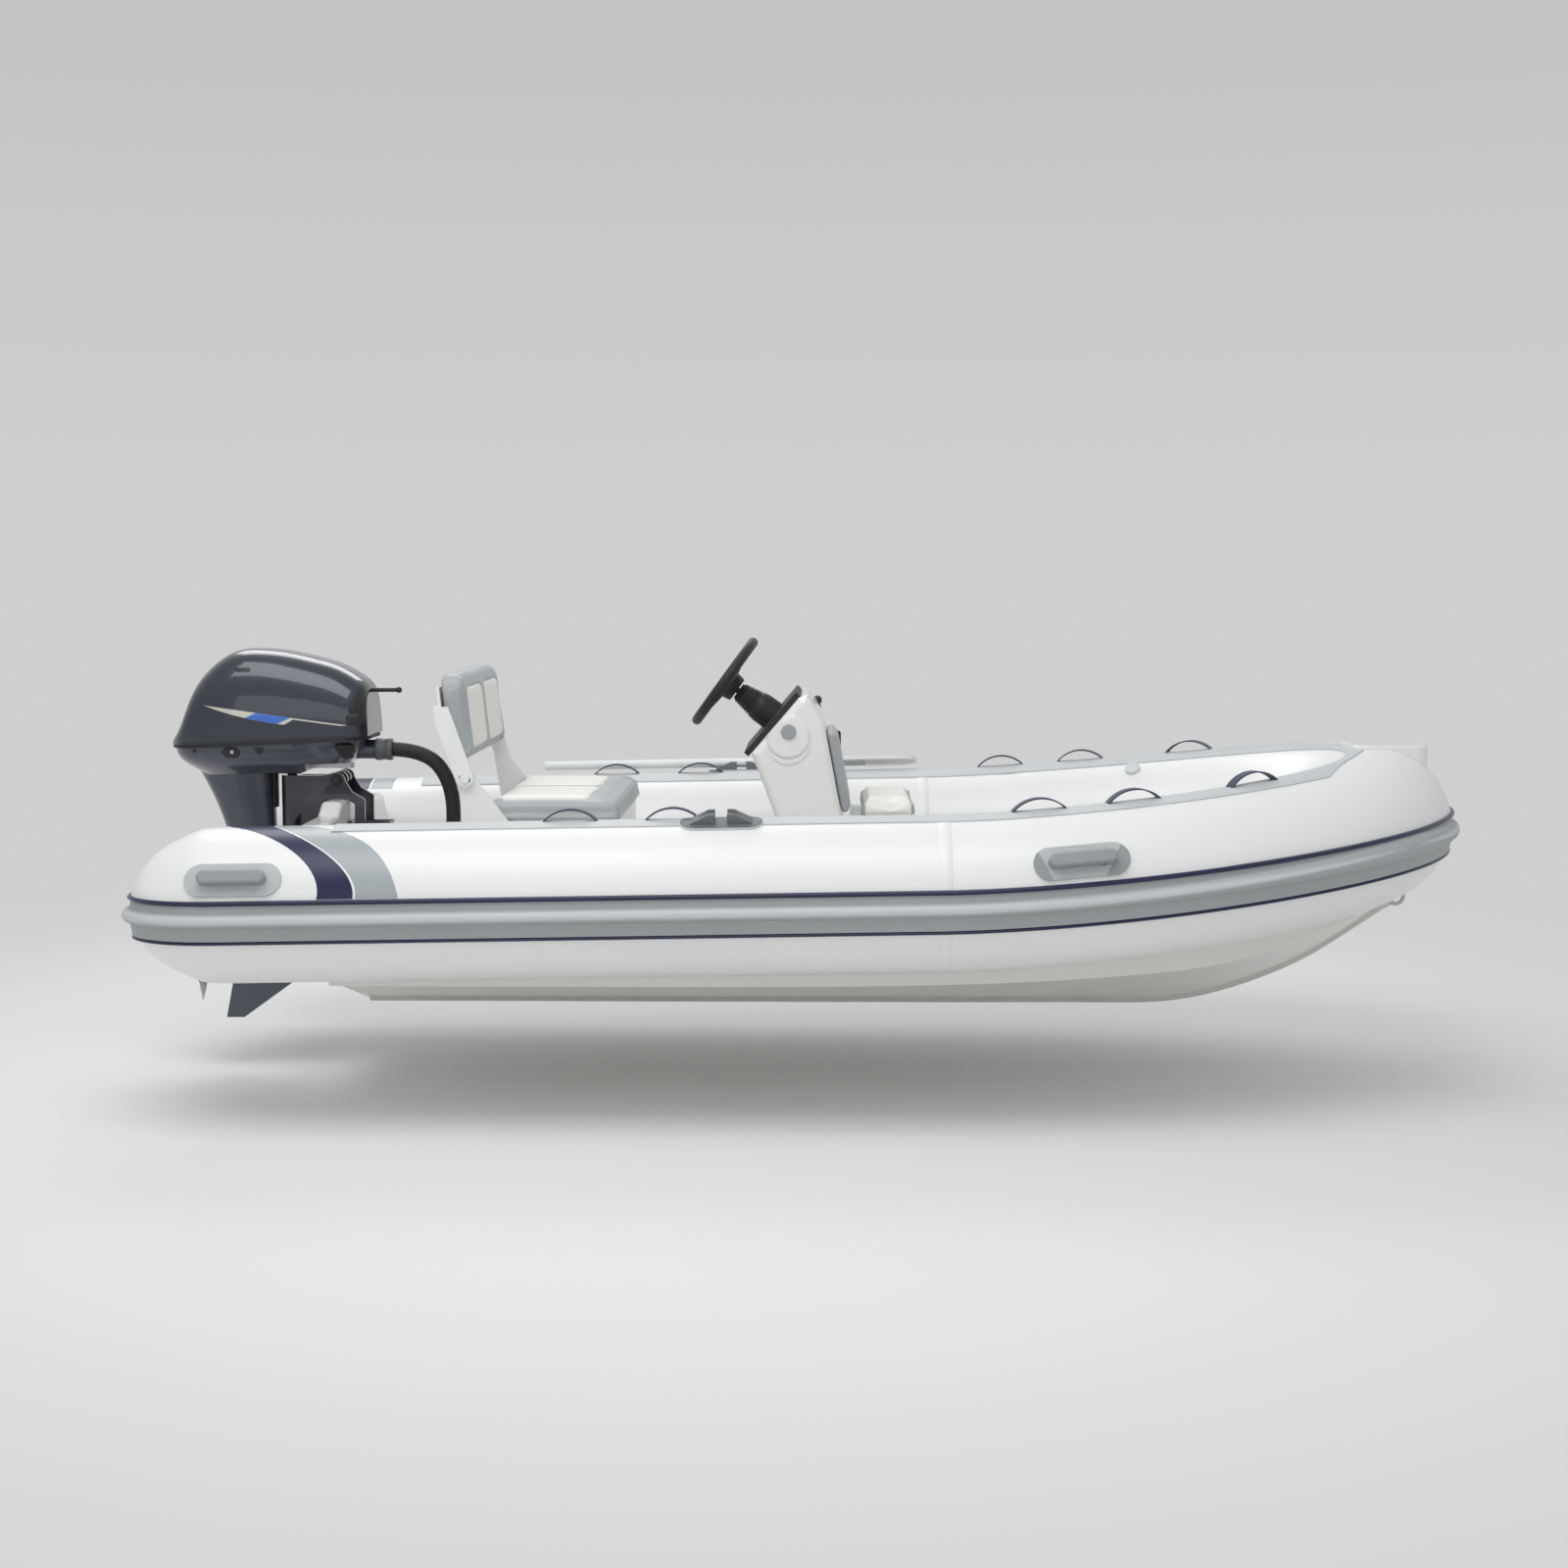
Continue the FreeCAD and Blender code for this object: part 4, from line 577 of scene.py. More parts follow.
# %% Finish recipe
class Finish:
    """A material with its tree, shader and shared coordinates at hand."""

    def __init__(self, name, colour, roughness, metallic=0.0, coat=0.0, coat_roughness=0.05, sheen=0.0):
        self.material = bpy.data.materials.new(name)
        self.material.use_nodes = True
        self.material.diffuse_color = colour
        self.tree = self.material.node_tree
        self.shader = self.tree.nodes["Principled BSDF"].inputs
        self.colour = colour
        self.roughness = roughness
        look = {"Base Color": colour, "Roughness": roughness, "Metallic": metallic, "Sheen Weight": sheen}
        look |= {"Coat Weight": coat, "Coat Roughness": coat_roughness}
        for socket, value in look.items():
            self.shader[socket].default_value = value
        self.spot = place_node(self.tree, "ShaderNodeTexCoord").outputs["Object"]
        self.x, self.y, self.z = place_node(self.tree, "ShaderNodeSeparateXYZ", {0: self.spot}).outputs
        self.paint = None
        self.normal = None

    def maths(self, operation, *values, clamp=False):
        return maths(self.tree, operation, *values, clamp=clamp)

    def distance(self, a, b):
        """Length of the diagonal over two offsets."""
        return self.maths("SQRT", self.maths("MULTIPLY_ADD", a, a, self.maths("MULTIPLY", b, b)))

    def over(self, mask, colour):
        """Paints a colour where the mask is 1."""
        self.paint = mix_colour(self.tree, mask, self.paint or self.colour, colour)
        feed(self.tree, self.shader["Base Color"], self.paint)
        return self

    def grain(self, cells, depth=0.00006, drift=3.0, tone=0.06, gloss=0.08):
        """Pebbled grain in the surface, tone and gloss."""
        group = use_group(
            self.tree, grain_group, Coordinates=self.spot, Cells_per_metre=cells, Drift_per_metre=drift
        ).outputs
        dark = tuple(c * (1 - tone * 2) for c in self.colour[:3]) + (1.0,)
        soft = self.maths("MULTIPLY_ADD", group["Drift"], 1.6, -0.3, clamp=True)
        self.paint = mix_colour(self.tree, soft, dark, self.colour)
        feed(self.tree, self.shader["Base Color"], self.paint)
        rough = self.maths("MULTIPLY_ADD", soft, -2 * gloss, self.roughness + gloss)
        feed(self.tree, self.shader["Roughness"], rough)
        return self.emboss(group["Height"], depth)

    def weave(self, threads, depth, dark):
        group = use_group(self.tree, weave_group, Coordinates=self.spot, Threads_per_metre=threads)
        gap = self.maths("LESS_THAN", group.outputs["Height"], 0.42)
        self.over(self.maths("MULTIPLY", gap, dark), tuple(c * 0.45 for c in self.colour[:3]) + (1.0,))
        return self.emboss(group.outputs["Height"], depth)

    def emboss(self, height, depth):
        """Lifts the surface by a height between 0 and 1 times the depth."""
        inputs = {"Strength": 1.0, "Distance": depth, "Height": height}
        if self.normal:
            inputs["Normal"] = self.normal
        self.normal = place_node(self.tree, "ShaderNodeBump", inputs).outputs["Normal"]
        feed(self.tree, self.shader["Normal"], self.normal)
        return self

    def scuff(self, colour, scale, amount, where):
        group = use_group(self.tree, scuff_group, Coordinates=self.spot, Scale=scale, Amount=amount)
        return self.over(self.maths("MULTIPLY", group.outputs["Mask"], where), colour)

    def band(self, value, low, high, soft):
        return use_group(self.tree, band_group, Value=value, Low=low, High=high, Soft=soft).outputs["Mask"]


def dress(finish, *names):
    """Gives a finish to CAD solids or to pieces."""
    for name in names:
        obj = cad_nodes[name] if isinstance(name, str) else name
        if not obj.material_slots:
            obj.data.materials.append(None)
        for held in obj.material_slots:
            held.material = finish.material


white, navy, fender_grey = tint(240, 240, 239), tint(9, 15, 66), tint(168, 172, 173)
print("finish recipe ready")

# %% [markdown]
# ## Tubes
# The tubes are coated fabric: white, with a satin gloss and a grain so fine that it only softens the highlights.
# At the stern a navy stripe and a grey one sweep over each side tube. On the real boat they are fabric too,
# glued on, so a painted mask is right for them.
# Each edge is a cubic in the turn round the tube, which puts the stripes at the same place on both sides.

# %% Tube shape, as in the frame's source
tube_radius, tube_half_spacing = 0.2065, 0.685
cone_start, cone_length = -1.574, 0.262
bow_start, bow_length, bow_fullness = 0.300, 1.275, 2.15
stern_height, tube_rake, bow_rise, rise_power = 0.187, 0.018, 0.110, 1.6
fender_drop, top_bead, low_bead = 0.014, 0.0455, -0.0560


def tube_height(x):
    sheer = max(0.0, (x - bow_start) / bow_length)
    return stern_height + tube_rake * (x - cone_start) + bow_rise * sheer**rise_power


def bow_point(angle):
    """A point of the starboard tube's axis in the bow, which is part of a superellipse seen from above."""
    x = bow_start + bow_length * math.sin(angle) ** (2 / bow_fullness)
    y = tube_half_spacing * max(0.0, math.cos(angle)) ** (2 / bow_fullness)
    return Vector((x, -y, tube_height(x)))


def bow_share(finish):
    """The share of the bow's length, as nodes. It is 0 along the straight tubes."""
    return finish.maths("MULTIPLY_ADD", finish.x, 1 / bow_length, -bow_start / bow_length, clamp=True)


def above_axis(finish, drop=0.0):
    """Height over the tube's axis, or over a line that far below it, as nodes."""
    straight = finish.maths("MULTIPLY_ADD", finish.x, tube_rake, stern_height - tube_rake * cone_start - drop)
    sheer = finish.maths("MULTIPLY", finish.maths("POWER", bow_share(finish), rise_power), bow_rise)
    return finish.maths("SUBTRACT", finish.maths("SUBTRACT", finish.z, sheer), straight)


def beside_axis(finish):
    """Distance outboard of the side tubes' axes, as nodes."""
    return finish.maths("SUBTRACT", finish.maths("ABSOLUTE", finish.y), tube_half_spacing)


print("axis height at the bow", round(tube_height(bow_start + bow_length), 3))


# %% Tube finishes
def tube_fabric(name):
    finish = Finish(name, white, 0.36, coat=0.15, coat_roughness=0.3)
    return finish.grain(cells=1100.0, depth=0.00004, drift=2.0, tone=0.012, gloss=0.05)


plain_tube = tube_fabric("Tube fabric, white")
striped_tube = tube_fabric("Tube fabric, striped")
sums = striped_tube.maths
rise, aside = above_axis(striped_tube), beside_axis(striped_tube)
whole_turn = sums("ARCTAN2", aside, rise)
turn = sums("MAXIMUM", whole_turn, 0.0)
outboard = striped_tube.band(whole_turn, -0.5, 1.42, 0.004)
edge_steepness = 900.0


def past_edge(cubic):
    """Mask of what lies forward of an edge given as a cubic in the turn."""
    edge = 0.0
    for factor in reversed(cubic):
        edge = striped_tube.maths("MULTIPLY_ADD", turn, edge, factor)
    ahead = striped_tube.maths("SUBTRACT", striped_tube.x, edge)
    return striped_tube.maths("MULTIPLY", ahead, edge_steepness, clamp=True)


navy_edges = (-1.5743, 0.2679, 0.0685, -0.0887), (-1.4592, 0.1178, 0.2397, -0.1423)
grey_edges = (-1.4527, 0.1178, 0.2397, -0.1423), (-1.3844, 0.4340, -0.2105, 0.0340)
stripes = []
for (aft, fore), colour in ((navy_edges, navy), (grey_edges, tint(164, 171, 174))):
    between = sums("SUBTRACT", past_edge(aft), past_edge(fore))
    stripes.append(sums("MULTIPLY", between, outboard))
    striped_tube.over(stripes[-1], colour)
striped_tube.emboss(sums("ADD", *stripes), 0.0006)
under_fender = striped_tube.band(rise, -0.066, 0.0312, 0.0008)
under_fender = sums("MULTIPLY", under_fender, sums("GREATER_THAN", aside, 0.0))
striped_tube.over(under_fender, fender_grey)
dress(striped_tube, "tube_starboard", "tube_port")
dress(plain_tube, "tube_bow")
print("tubes dressed")

# %% [markdown]
# ## Fender, wear patches and hull
# The fender is extruded rubber in one grey with a matt skin; the lighter band along its ridge is a painted highlight.
# Its navy edge beads are separate round welts, swept along both edges and round the bow.

# %% Rubber and gelcoat finishes
fender_rubber = Finish("Fender rubber", fender_grey, 0.5)
fender_rubber.grain(cells=700.0, depth=0.00005, drift=4.0, tone=0.03, gloss=0.06)
fender_rise = above_axis(fender_rubber, drop=fender_drop)
# The lighter band along the fender's ridge is a painted highlight, where the ridge faces up to the lamps.
fender_rubber.over(fender_rubber.band(fender_rise, -0.010, 0.020, 0.006), tint(196, 201, 203))
fender_rubber.over(fender_rubber.band(fender_rise, top_bead, 0.2, 0.0006), white)
dress(fender_rubber, "fender")
patch_rubber = Finish("Wear patch rubber", tint(200, 204, 206), 0.6)
dress(patch_rubber.grain(cells=420.0, depth=0.00025, drift=5.0, tone=0.02, gloss=0.05), "wear_patches")


def gelcoat(name, colour, roughness=0.22):
    finish = Finish(name, colour, roughness, coat=0.5, coat_roughness=0.08)
    return finish.grain(cells=60.0, depth=0.00003, drift=2.5, tone=0.02, gloss=0.05)


hull_gelcoat = gelcoat("Hull gelcoat", tint(233, 231, 224))
low_hull = hull_gelcoat.band(hull_gelcoat.z, -0.30, -0.10, 0.08)
hull_gelcoat.scuff(tint(196, 190, 176), scale=9.0, amount=0.35, where=low_hull)
dress(hull_gelcoat, "hull")
dress(Finish("Keel guard", tint(214, 213, 208), 0.45).grain(cells=500.0, tone=0.04), "keel_guard")
inner_gelcoat = gelcoat("Deck gelcoat", tint(236, 236, 233))
dress(inner_gelcoat, "transom", "nose_plate", "front_seat", "bow_locker")
bench_paint = Finish("Bench powder coat", tint(238, 238, 236), 0.35, coat=0.2)
bench_paint.grain(cells=650.0, depth=0.00007, drift=3.0, tone=0.02, gloss=0.05)
dress(bench_paint, "seat_base", "seat_arms", "backrest_frame")
print("rubber, hull and bench dressed")

# %% Console, with a raised round boss on each side
boss_x, boss_z, boss_radius, boss_slope, boss_height = -0.113, 0.600, 0.064, 0.008, 0.004
console_gelcoat = gelcoat("Console gelcoat", tint(236, 236, 233))
sums = console_gelcoat.maths
along, over = sums("SUBTRACT", console_gelcoat.x, boss_x), sums("SUBTRACT", console_gelcoat.z, boss_z)
from_middle = console_gelcoat.distance(along, over)
boss = sums("MULTIPLY_ADD", from_middle, -1 / boss_slope, boss_radius / boss_slope, clamp=True)
on_sides = sums("GREATER_THAN", sums("ABSOLUTE", console_gelcoat.y), 0.225)
console_gelcoat.emboss(sums("MULTIPLY", boss, on_sides), boss_height)
dress(console_gelcoat, "console_shell")
print("console dressed")

# %% Deck, with a moulded non-skid of small raised diamonds
skid_x, skid_y, skid_waves = (-1.10, 0.93), (-0.50, 0.50), 380.0
deck_skid = gelcoat("Non-skid deck", tint(226, 227, 226), 0.4)
sums = deck_skid.maths
slants = [sums(kind, deck_skid.x, deck_skid.y) for kind in ("ADD", "SUBTRACT")]
waves = [sums("SINE", sums("MULTIPLY", slant, skid_waves)) for slant in slants]
stud = sums("SUBTRACT", sums("MULTIPLY", *waves), 0.15)
stud = sums("MULTIPLY", stud, 3.0, clamp=True)
inside = deck_skid.band(deck_skid.x, *skid_x, 0.004)
inside = sums("MULTIPLY", inside, deck_skid.band(deck_skid.y, *skid_y, 0.004))
deck_skid.emboss(sums("MULTIPLY", stud, inside), 0.0008)
deck_skid.over(sums("MULTIPLY", inside, 0.5), tint(205, 207, 208))
dress(deck_skid, "deck")
print("deck dressed")

# %% Navy beads along the fender
cone_share, bow_begin = 0.12, 0.5


def fender_point(share):
    """A point of the starboard fender's middle and its outward way, from the stern cone to the bow's tip."""
    drop = Vector((0, 0, fender_drop))
    if share < cone_share:
        turn = math.radians(100.0) * (1 - share / cone_share)
        x = cone_start - cone_length * math.sin(turn)
        y = tube_half_spacing + tube_radius * math.cos(turn)
        out = Vector((-math.sin(turn), -math.cos(turn), 0))
        return Vector((x, -y, tube_height(x))) - drop, out.normalized()
    if share < bow_begin:
        x = cone_start + (bow_start - cone_start) * (share - cone_share) / (bow_begin - cone_share)
        return Vector((x, -tube_half_spacing - tube_radius, tube_height(x))) - drop, Vector((0, -1, 0))
    angle, step = math.pi / 2 * (share - bow_begin) / (1 - bow_begin), 0.0015
    along = bow_point(min(angle + step, math.pi / 2)) - bow_point(max(angle - step, 0.0))
    out = Vector((along.y, -along.x, 0)).normalized()
    out = -out if out.y > 0 else out
    out = Vector((1, 0, 0)) if share >= 1 else out
    return bow_point(angle) + out * tube_radius - drop, out


def bead_part(height, half_wide, proud):
    """A welt at that height from the fender's middle, from one stern cone round the bow to the other."""
    off_centre = height - fender_drop
    inset = math.sqrt(tube_radius**2 - off_centre**2) - tube_radius
    lean = off_centre / tube_radius
    upright, steps = math.sqrt(1 - lean**2), 150
    stations = [fender_point(i / steps) for i in range(steps + 1)]
    stations += [[Vector((v.x, -v.y, v.z)) for v in pair] for pair in reversed(stations[:-1])]
    rings = []
    for point, out in stations:
        outward = (out * upright + Vector((0, 0, lean))).normalized()
        along_skin = (Vector((0, 0, 1)) * upright - out * lean).normalized()
        centre = point + out * inset + Vector((0, 0, height))
        ring = []
        for t in turns_of(14):
            lift = math.sin(t) * (proud if math.sin(t) > 0 else 0.004)
            ring.append(centre + outward * lift + along_skin * half_wide * math.cos(t))
        rings.append(ring)
    return skin(rings)


beads = join_parts("fender_beads", [bead_part(top_bead, 0.0068, 0.0110), bead_part(low_bead, 0.0055, 0.0118)])
dress(Finish("Navy welt", navy, 0.35, coat=0.3).grain(cells=900.0, tone=0.08), beads)
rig.ride(beads, "boat")
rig.slot(beads, "fender")
print("beads", len(beads.data.polygons))

# %% Seam tapes where the bow section meets the side tubes
tape_profile = [(-0.016, -0.004), (-0.016, 0.0003), (-0.015, 0.0009), (0.0, 0.0010)]
tape_profile += [(0.015, 0.0011), (0.016, 0.0003), (0.016, -0.004)]


def tape_part(side):
    """A thin band round one tube, from (distance past the seam, lift off the tube) pairs."""
    rings = []
    for past, lift in tape_profile:
        middle = Vector((bow_start + past, side * tube_half_spacing, tube_height(bow_start + min(past, 0.0))))
        rings.append([middle + Vector((0, u, v)) for u, v in circle(tube_radius + lift, 128)])
    return skin(rings, closed=True)


tapes = join_parts("seam_tapes", [tape_part(-1), tape_part(1)])
dress(plain_tube, tapes)
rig.ride(tapes, "boat")
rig.slot(tapes, "tube")
print("tapes", len(tapes.data.polygons))

# %% [markdown]
# ## Cushions
# A marine cushion is foam under stretched vinyl. Its faces crown, its sides pull in between the corners, and
# sewn seams sink into it.
# Cloth with a little inner pressure gives that swell. Each cushion starts a bit small, is remeshed into even
# cells, is blown up with its underside pinned, and then has its seams pressed in.
# The pale panels are a second vinyl, sewn in with a welt, so each panel is a slot of its own on the faces
# inside the seam.


# %% Cushion tools
def block_part(size, corner):
    """A box with rounded edges, centred on the origin."""
    work = bmesh.new()
    bmesh.ops.create_cube(work, size=1.0)
    for vert in work.verts:
        vert.co = Vector([c * side for c, side in zip(vert.co, size)])
    bmesh.ops.bevel(work, geom=list(work.edges), offset=corner, segments=3, profile=0.5, affect="EDGES")
    points, faces = [v.co.copy() for v in work.verts], [tuple(v.index for v in f.verts) for f in work.faces]
    work.free()
    return points, faces


def bake_modifiers(obj):
    graph = bpy.context.evaluated_depsgraph_get()
    baked = bpy.data.meshes.new_from_object(obj.evaluated_get(graph))
    obj.modifiers.clear()
    old, obj.data = obj.data, baked
    bpy.data.meshes.remove(old)
    obj.data.polygons.foreach_set("use_smooth", [True] * len(obj.data.polygons))


def even_cells(obj, size):
    voxels = obj.modifiers.new("even", "REMESH")
    voxels.mode = "VOXEL"
    voxels.voxel_size = size
    bake_modifiers(obj)


def triples(items, key):
    """A vector property of all vertices or polygons, as rows of three."""
    flat = np.zeros(len(items) * 3)
    items.foreach_get(key, flat)
    return flat.reshape(-1, 3)


def set_coordinates(obj, places):
    obj.data.vertices.foreach_set("co", places.astype(np.float32).ravel())
    obj.data.update()


print("cushion tools ready")

# %% Foam: cloth blown up by a little pressure from inside
foam = {
    "quality": 5,
    "mass": 0.3,
    "tension_stiffness": 15,
    "compression_stiffness": 15,
    "bending_stiffness": 0.5,
    "use_pressure": True,
    "uniform_pressure_force": 4.0,
    "vertex_group_mass": "held",
}
foam_frames = 20


def swell(obj, cap, pinned):
    """Blows a closed mesh up from inside. No point moves further than the cap."""
    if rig.quick():
        return
    rest = triples(obj.data.vertices, "co")
    group = obj.vertex_groups.new(name="held")
    for index in np.nonzero(pinned > 0)[0]:
        group.add([int(index)], float(pinned[index]), "REPLACE")
    cloth = obj.modifiers.new("foam", "CLOTH")
    for key, value in foam.items():
        setattr(cloth.settings, key, value)
    cloth.settings.effector_weights.gravity = 0.0
    cloth.point_cache.frame_start, cloth.point_cache.frame_end = 1, foam_frames
    for step in range(1, foam_frames + 1):
        scene.frame_set(step)
    graph = bpy.context.evaluated_depsgraph_get()
    blown = np.array([v.co for v in obj.evaluated_get(graph).data.vertices])
    obj.modifiers.clear()
    scene.frame_set(1)
    move = blown - rest
    far = np.maximum(np.linalg.norm(move, axis=1, keepdims=True), 1e-9)
    set_coordinates(obj, rest + move * np.minimum(1.0, cap / far))


print("foam ready")


# %% Cushion builder
def panel_distance(places, panel):
    """Signed distance from a rounded rectangle, negative inside."""
    (cu, cv), (hu, hv), corner = panel
    du = np.abs(places[:, 0] - cu) - (hu - corner)
    dv = np.abs(places[:, 1] - cv) - (hv - corner)
    return np.hypot(np.maximum(du, 0), np.maximum(dv, 0)) + np.minimum(np.maximum(du, dv), 0) - corner


def vinyl(name, colour, roughness, tone):
    finish = Finish(name, colour, roughness, sheen=0.1)
    return finish.grain(cells=650.0, depth=0.00022, drift=5.0, tone=tone, gloss=0.08)


vinyl_grey = vinyl("Vinyl, grey", tint(172, 176, 178), 0.45, 0.05)
vinyl_pale = vinyl("Vinyl, pale", tint(238, 236, 230), 0.42, 0.03)
seam_depth, seam_width, panel_swell = 0.004, 0.0035, 0.0018
rim_depth, rim_width = 0.0022, 0.003


def cushion(name, size, corner, voxel, cap, matrix, panels, taper=None, whole_panel=False):
    """A foam cushion in its own space: u along, v across, w out of its face. Panels lie on the face."""
    obj = add_mesh(name, *block_part(size, corner))
    even_cells(obj, voxel)
    places = triples(obj.data.vertices, "co")
    if taper:
        set_coordinates(obj, taper(places))
    pinned = np.clip((-0.2 * size[2] - places[:, 2]) / (0.2 * size[2]), 0, 1)
    swell(obj, cap, pinned)
    smooth = obj.modifiers.new("smooth", "SUBSURF")
    smooth.levels = smooth.render_levels = 1
    bake_modifiers(obj)
    places = triples(obj.data.vertices, "co")
    on_face = np.clip((places[:, 2] - 0.15 * size[2]) / (0.1 * size[2]), 0, 1)
    for panel in panels:
        gap = panel_distance(places, panel)
        places[:, 2] -= on_face * seam_depth * np.exp(-((gap / seam_width) ** 2))
        places[:, 2] += on_face * panel_swell * np.clip(-gap / 0.02, 0, 1)
    rim = (0, 0), (size[0] / 2 - corner * 0.8, size[1] / 2 - corner * 0.8), corner * 1.6
    places[:, 2] -= on_face * rim_depth * np.exp(-((np.abs(panel_distance(places, rim)) / rim_width) ** 2))
    set_coordinates(obj, places)
    obj.data.materials.append(vinyl_grey.material)
    obj.data.materials.append(vinyl_pale.material)
    centres = triples(obj.data.polygons, "center")
    index = np.zeros(len(centres), int)
    for panel in panels:
        index[(panel_distance(centres, panel) < 0) & (whole_panel | (centres[:, 2] > 0.2 * size[2]))] = 1
    obj.data.polygons.foreach_set("material_index", index)
    obj.data.transform(matrix)
    return obj


def facing(centre, along, across, out):
    """Matrix from a cushion's own space to the boat's."""
    matrix = Matrix((along, across, out)).transposed().to_4x4()
    matrix.translation = centre
    return matrix


def upholster(pad, body, replaced, fill):
    """What every cushion says: its body, the part it replaces, its padding and its slot."""
    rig.ride(pad, body)
    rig.replaces(pad, replaced)
    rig.padded(pad, fill=fill)
    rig.slot(pad, "upholstery")
    print(pad.name, len(pad.data.polygons), "faces")


# %% Helm seat cushion
seat_size = (0.377, 0.712, 0.060)
seat_panels = [((-0.035, side * 0.168), (0.130, 0.150), 0.022) for side in (-1, 1)]
seat_matrix = facing(Vector((-0.7625, 0.0, 0.4008)), forward, portward, upward)
seat_cushion = cushion("helm_seat_cushion", seat_size, 0.018, 0.007, 0.009, seat_matrix, seat_panels)
upholster(seat_cushion, "boat", "seat_cushion", 0.7)

# %% Backrest cushion: round top corners, and a back that slants in to a thin foot
lean = math.atan(0.11)
back_up = Vector((-math.sin(lean), 0, math.cos(lean)))
back_out = Vector((math.cos(lean), 0, math.sin(lean)))
back_size = (0.242, 0.694, 0.058)
back_panels = [((-0.012, side * 0.160), (0.086, 0.134), 0.024) for side in (-1, 1)]
back_matrix = facing(Vector((-1.0325, 0, 0.664)), back_up, -portward, back_out)
back_corner, foot_height, foot_thinning = 0.055, 0.42, 0.78


def backrest_form(places):
    """Rounds the two top corners and thins the lower part from behind."""
    u, v, w = places.T
    half_u, half_v, half_w = (side / 2 for side in back_size)
    du = np.clip((u - half_u + back_corner) / back_corner, 0, 1)
    dv = np.clip((np.abs(v) - half_v + back_corner) / back_corner, 0, 1)
    both = (du > 0) & (dv > 0)
    round_u = half_u - back_corner + back_corner * du * np.sqrt(1 - dv**2 / 2)
    round_v = half_v - back_corner + back_corner * dv * np.sqrt(1 - du**2 / 2)
    waist = -half_u + foot_height * back_size[0]
    thin = np.clip((waist - u) / (waist + half_u), 0, 1)
    back_face = -half_w + thin * foot_thinning * back_size[2]
    new_w = back_face + (w + half_w) * (half_w - back_face) / back_size[2]
    return np.stack([np.where(both, round_u, u), np.where(both, np.sign(v) * round_v, v), new_w], axis=1)


backrest = cushion("backrest_pad", back_size, 0.016, 0.006, 0.007, back_matrix, back_panels, taper=backrest_form)
upholster(backrest, "backrest", "backrest_cushion", 0.7)

# %% Console pad and front seat cushion
low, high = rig.box("console_cushion")
pad_slope = math.atan2(0.107, 0.561)
pad_down = Vector((math.sin(pad_slope), 0, -math.cos(pad_slope)))
pad_out = Vector((math.cos(pad_slope), 0, math.sin(pad_slope)))
pad_matrix = facing((low + high) / 2, pad_down, portward, pad_out)
console_pad = cushion("console_pad", (0.234, 0.364, 0.026), 0.010, 0.006, 0.004, pad_matrix, [])
upholster(console_pad, "boat", "console_cushion", 0.6)

low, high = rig.box("front_cushion")
front_matrix = facing((low + high) / 2, forward, portward, upward)
front_size = [b - a - 0.008 for a, b in zip(low, high)]
front_panels = [((0, 0), (front_size[0] / 2 - 0.012, front_size[1] / 2 + 0.05), 0.010)]
front_pad = cushion("front_seat_pad", front_size, 0.016, 0.006, 0.006, front_matrix, front_panels, whole_panel=True)
upholster(front_pad, "boat", "front_cushion", 0.7)

# %% [markdown]
# ## Engine
# The outboard wears a metallic blue-grey paint under clear lacquer. A very fine grain softens the base, and
# the coat gives the hard highlights.
# A silver stripe that turns blue sweeps along the cowl's side.


# %% Engine paint
def engine_paint(name, colour):
    finish = Finish(name, colour, 0.34, metallic=0.45, coat=1.0, coat_roughness=0.06)
    return finish.grain(cells=2500.0, depth=0.000012, drift=2.0, tone=0.05, gloss=0.04)


dress(engine_paint("Engine leg paint", tint(66, 70, 84)), "engine_pan", "engine_casing", "gearcase")
# The brackets take a darker copy of the leg paint: the extra darkness is painted shade, as they sit in the shade under
# the engine.
dress(engine_paint("Bracket paint with painted shade", tint(48, 50, 58)), "clamp_bracket", "swivel_bracket")
print("leg and bracket painted")

# %% Cowl: a silver stripe between a sloping top line and a bulge, blue at its middle, and black at the rim
stripe_aft, stripe_length, stripe_fatness = -1.781, 0.415, 0.094
cowl_paint = engine_paint("Cowl paint", tint(43, 48, 62))
sums, x, z = cowl_paint.maths, cowl_paint.x, cowl_paint.z
along = sums("MULTIPLY_ADD", x, 1 / stripe_length, -stripe_aft / stripe_length, clamp=True)
bulge = sums("MULTIPLY", sums("MULTIPLY", along, sums("SUBTRACT", 1.0, along)), stripe_fatness)
tail = sums("MAXIMUM", sums("MULTIPLY_ADD", along, -0.30, 0.192), 0.005)
below_top_line = sums("SUBTRACT", sums("MULTIPLY_ADD", x, -0.141, 0.4319), z)
inside = cowl_paint.band(below_top_line, 0.0, sums("MINIMUM", bulge, tail), 0.0008)
cowl_paint.over(inside, tint(206, 203, 190))
slanted = cowl_paint.band(sums("MULTIPLY_ADD", below_top_line, 1.6, x), -1.630, -1.528, 0.004)
cowl_paint.over(sums("MULTIPLY", inside, slanted), tint(58, 110, 200))
low_edge = sums("LESS_THAN", sums("SUBTRACT", z, sums("MULTIPLY_ADD", x, 0.045, 0.6585)), 0.0)
front_end = sums("GREATER_THAN", x, -1.3475)
cowl_paint.over(sums("MAXIMUM", low_edge, front_end), tint(26, 27, 30))
dress(cowl_paint, "engine_cowl")
print("cowl painted")

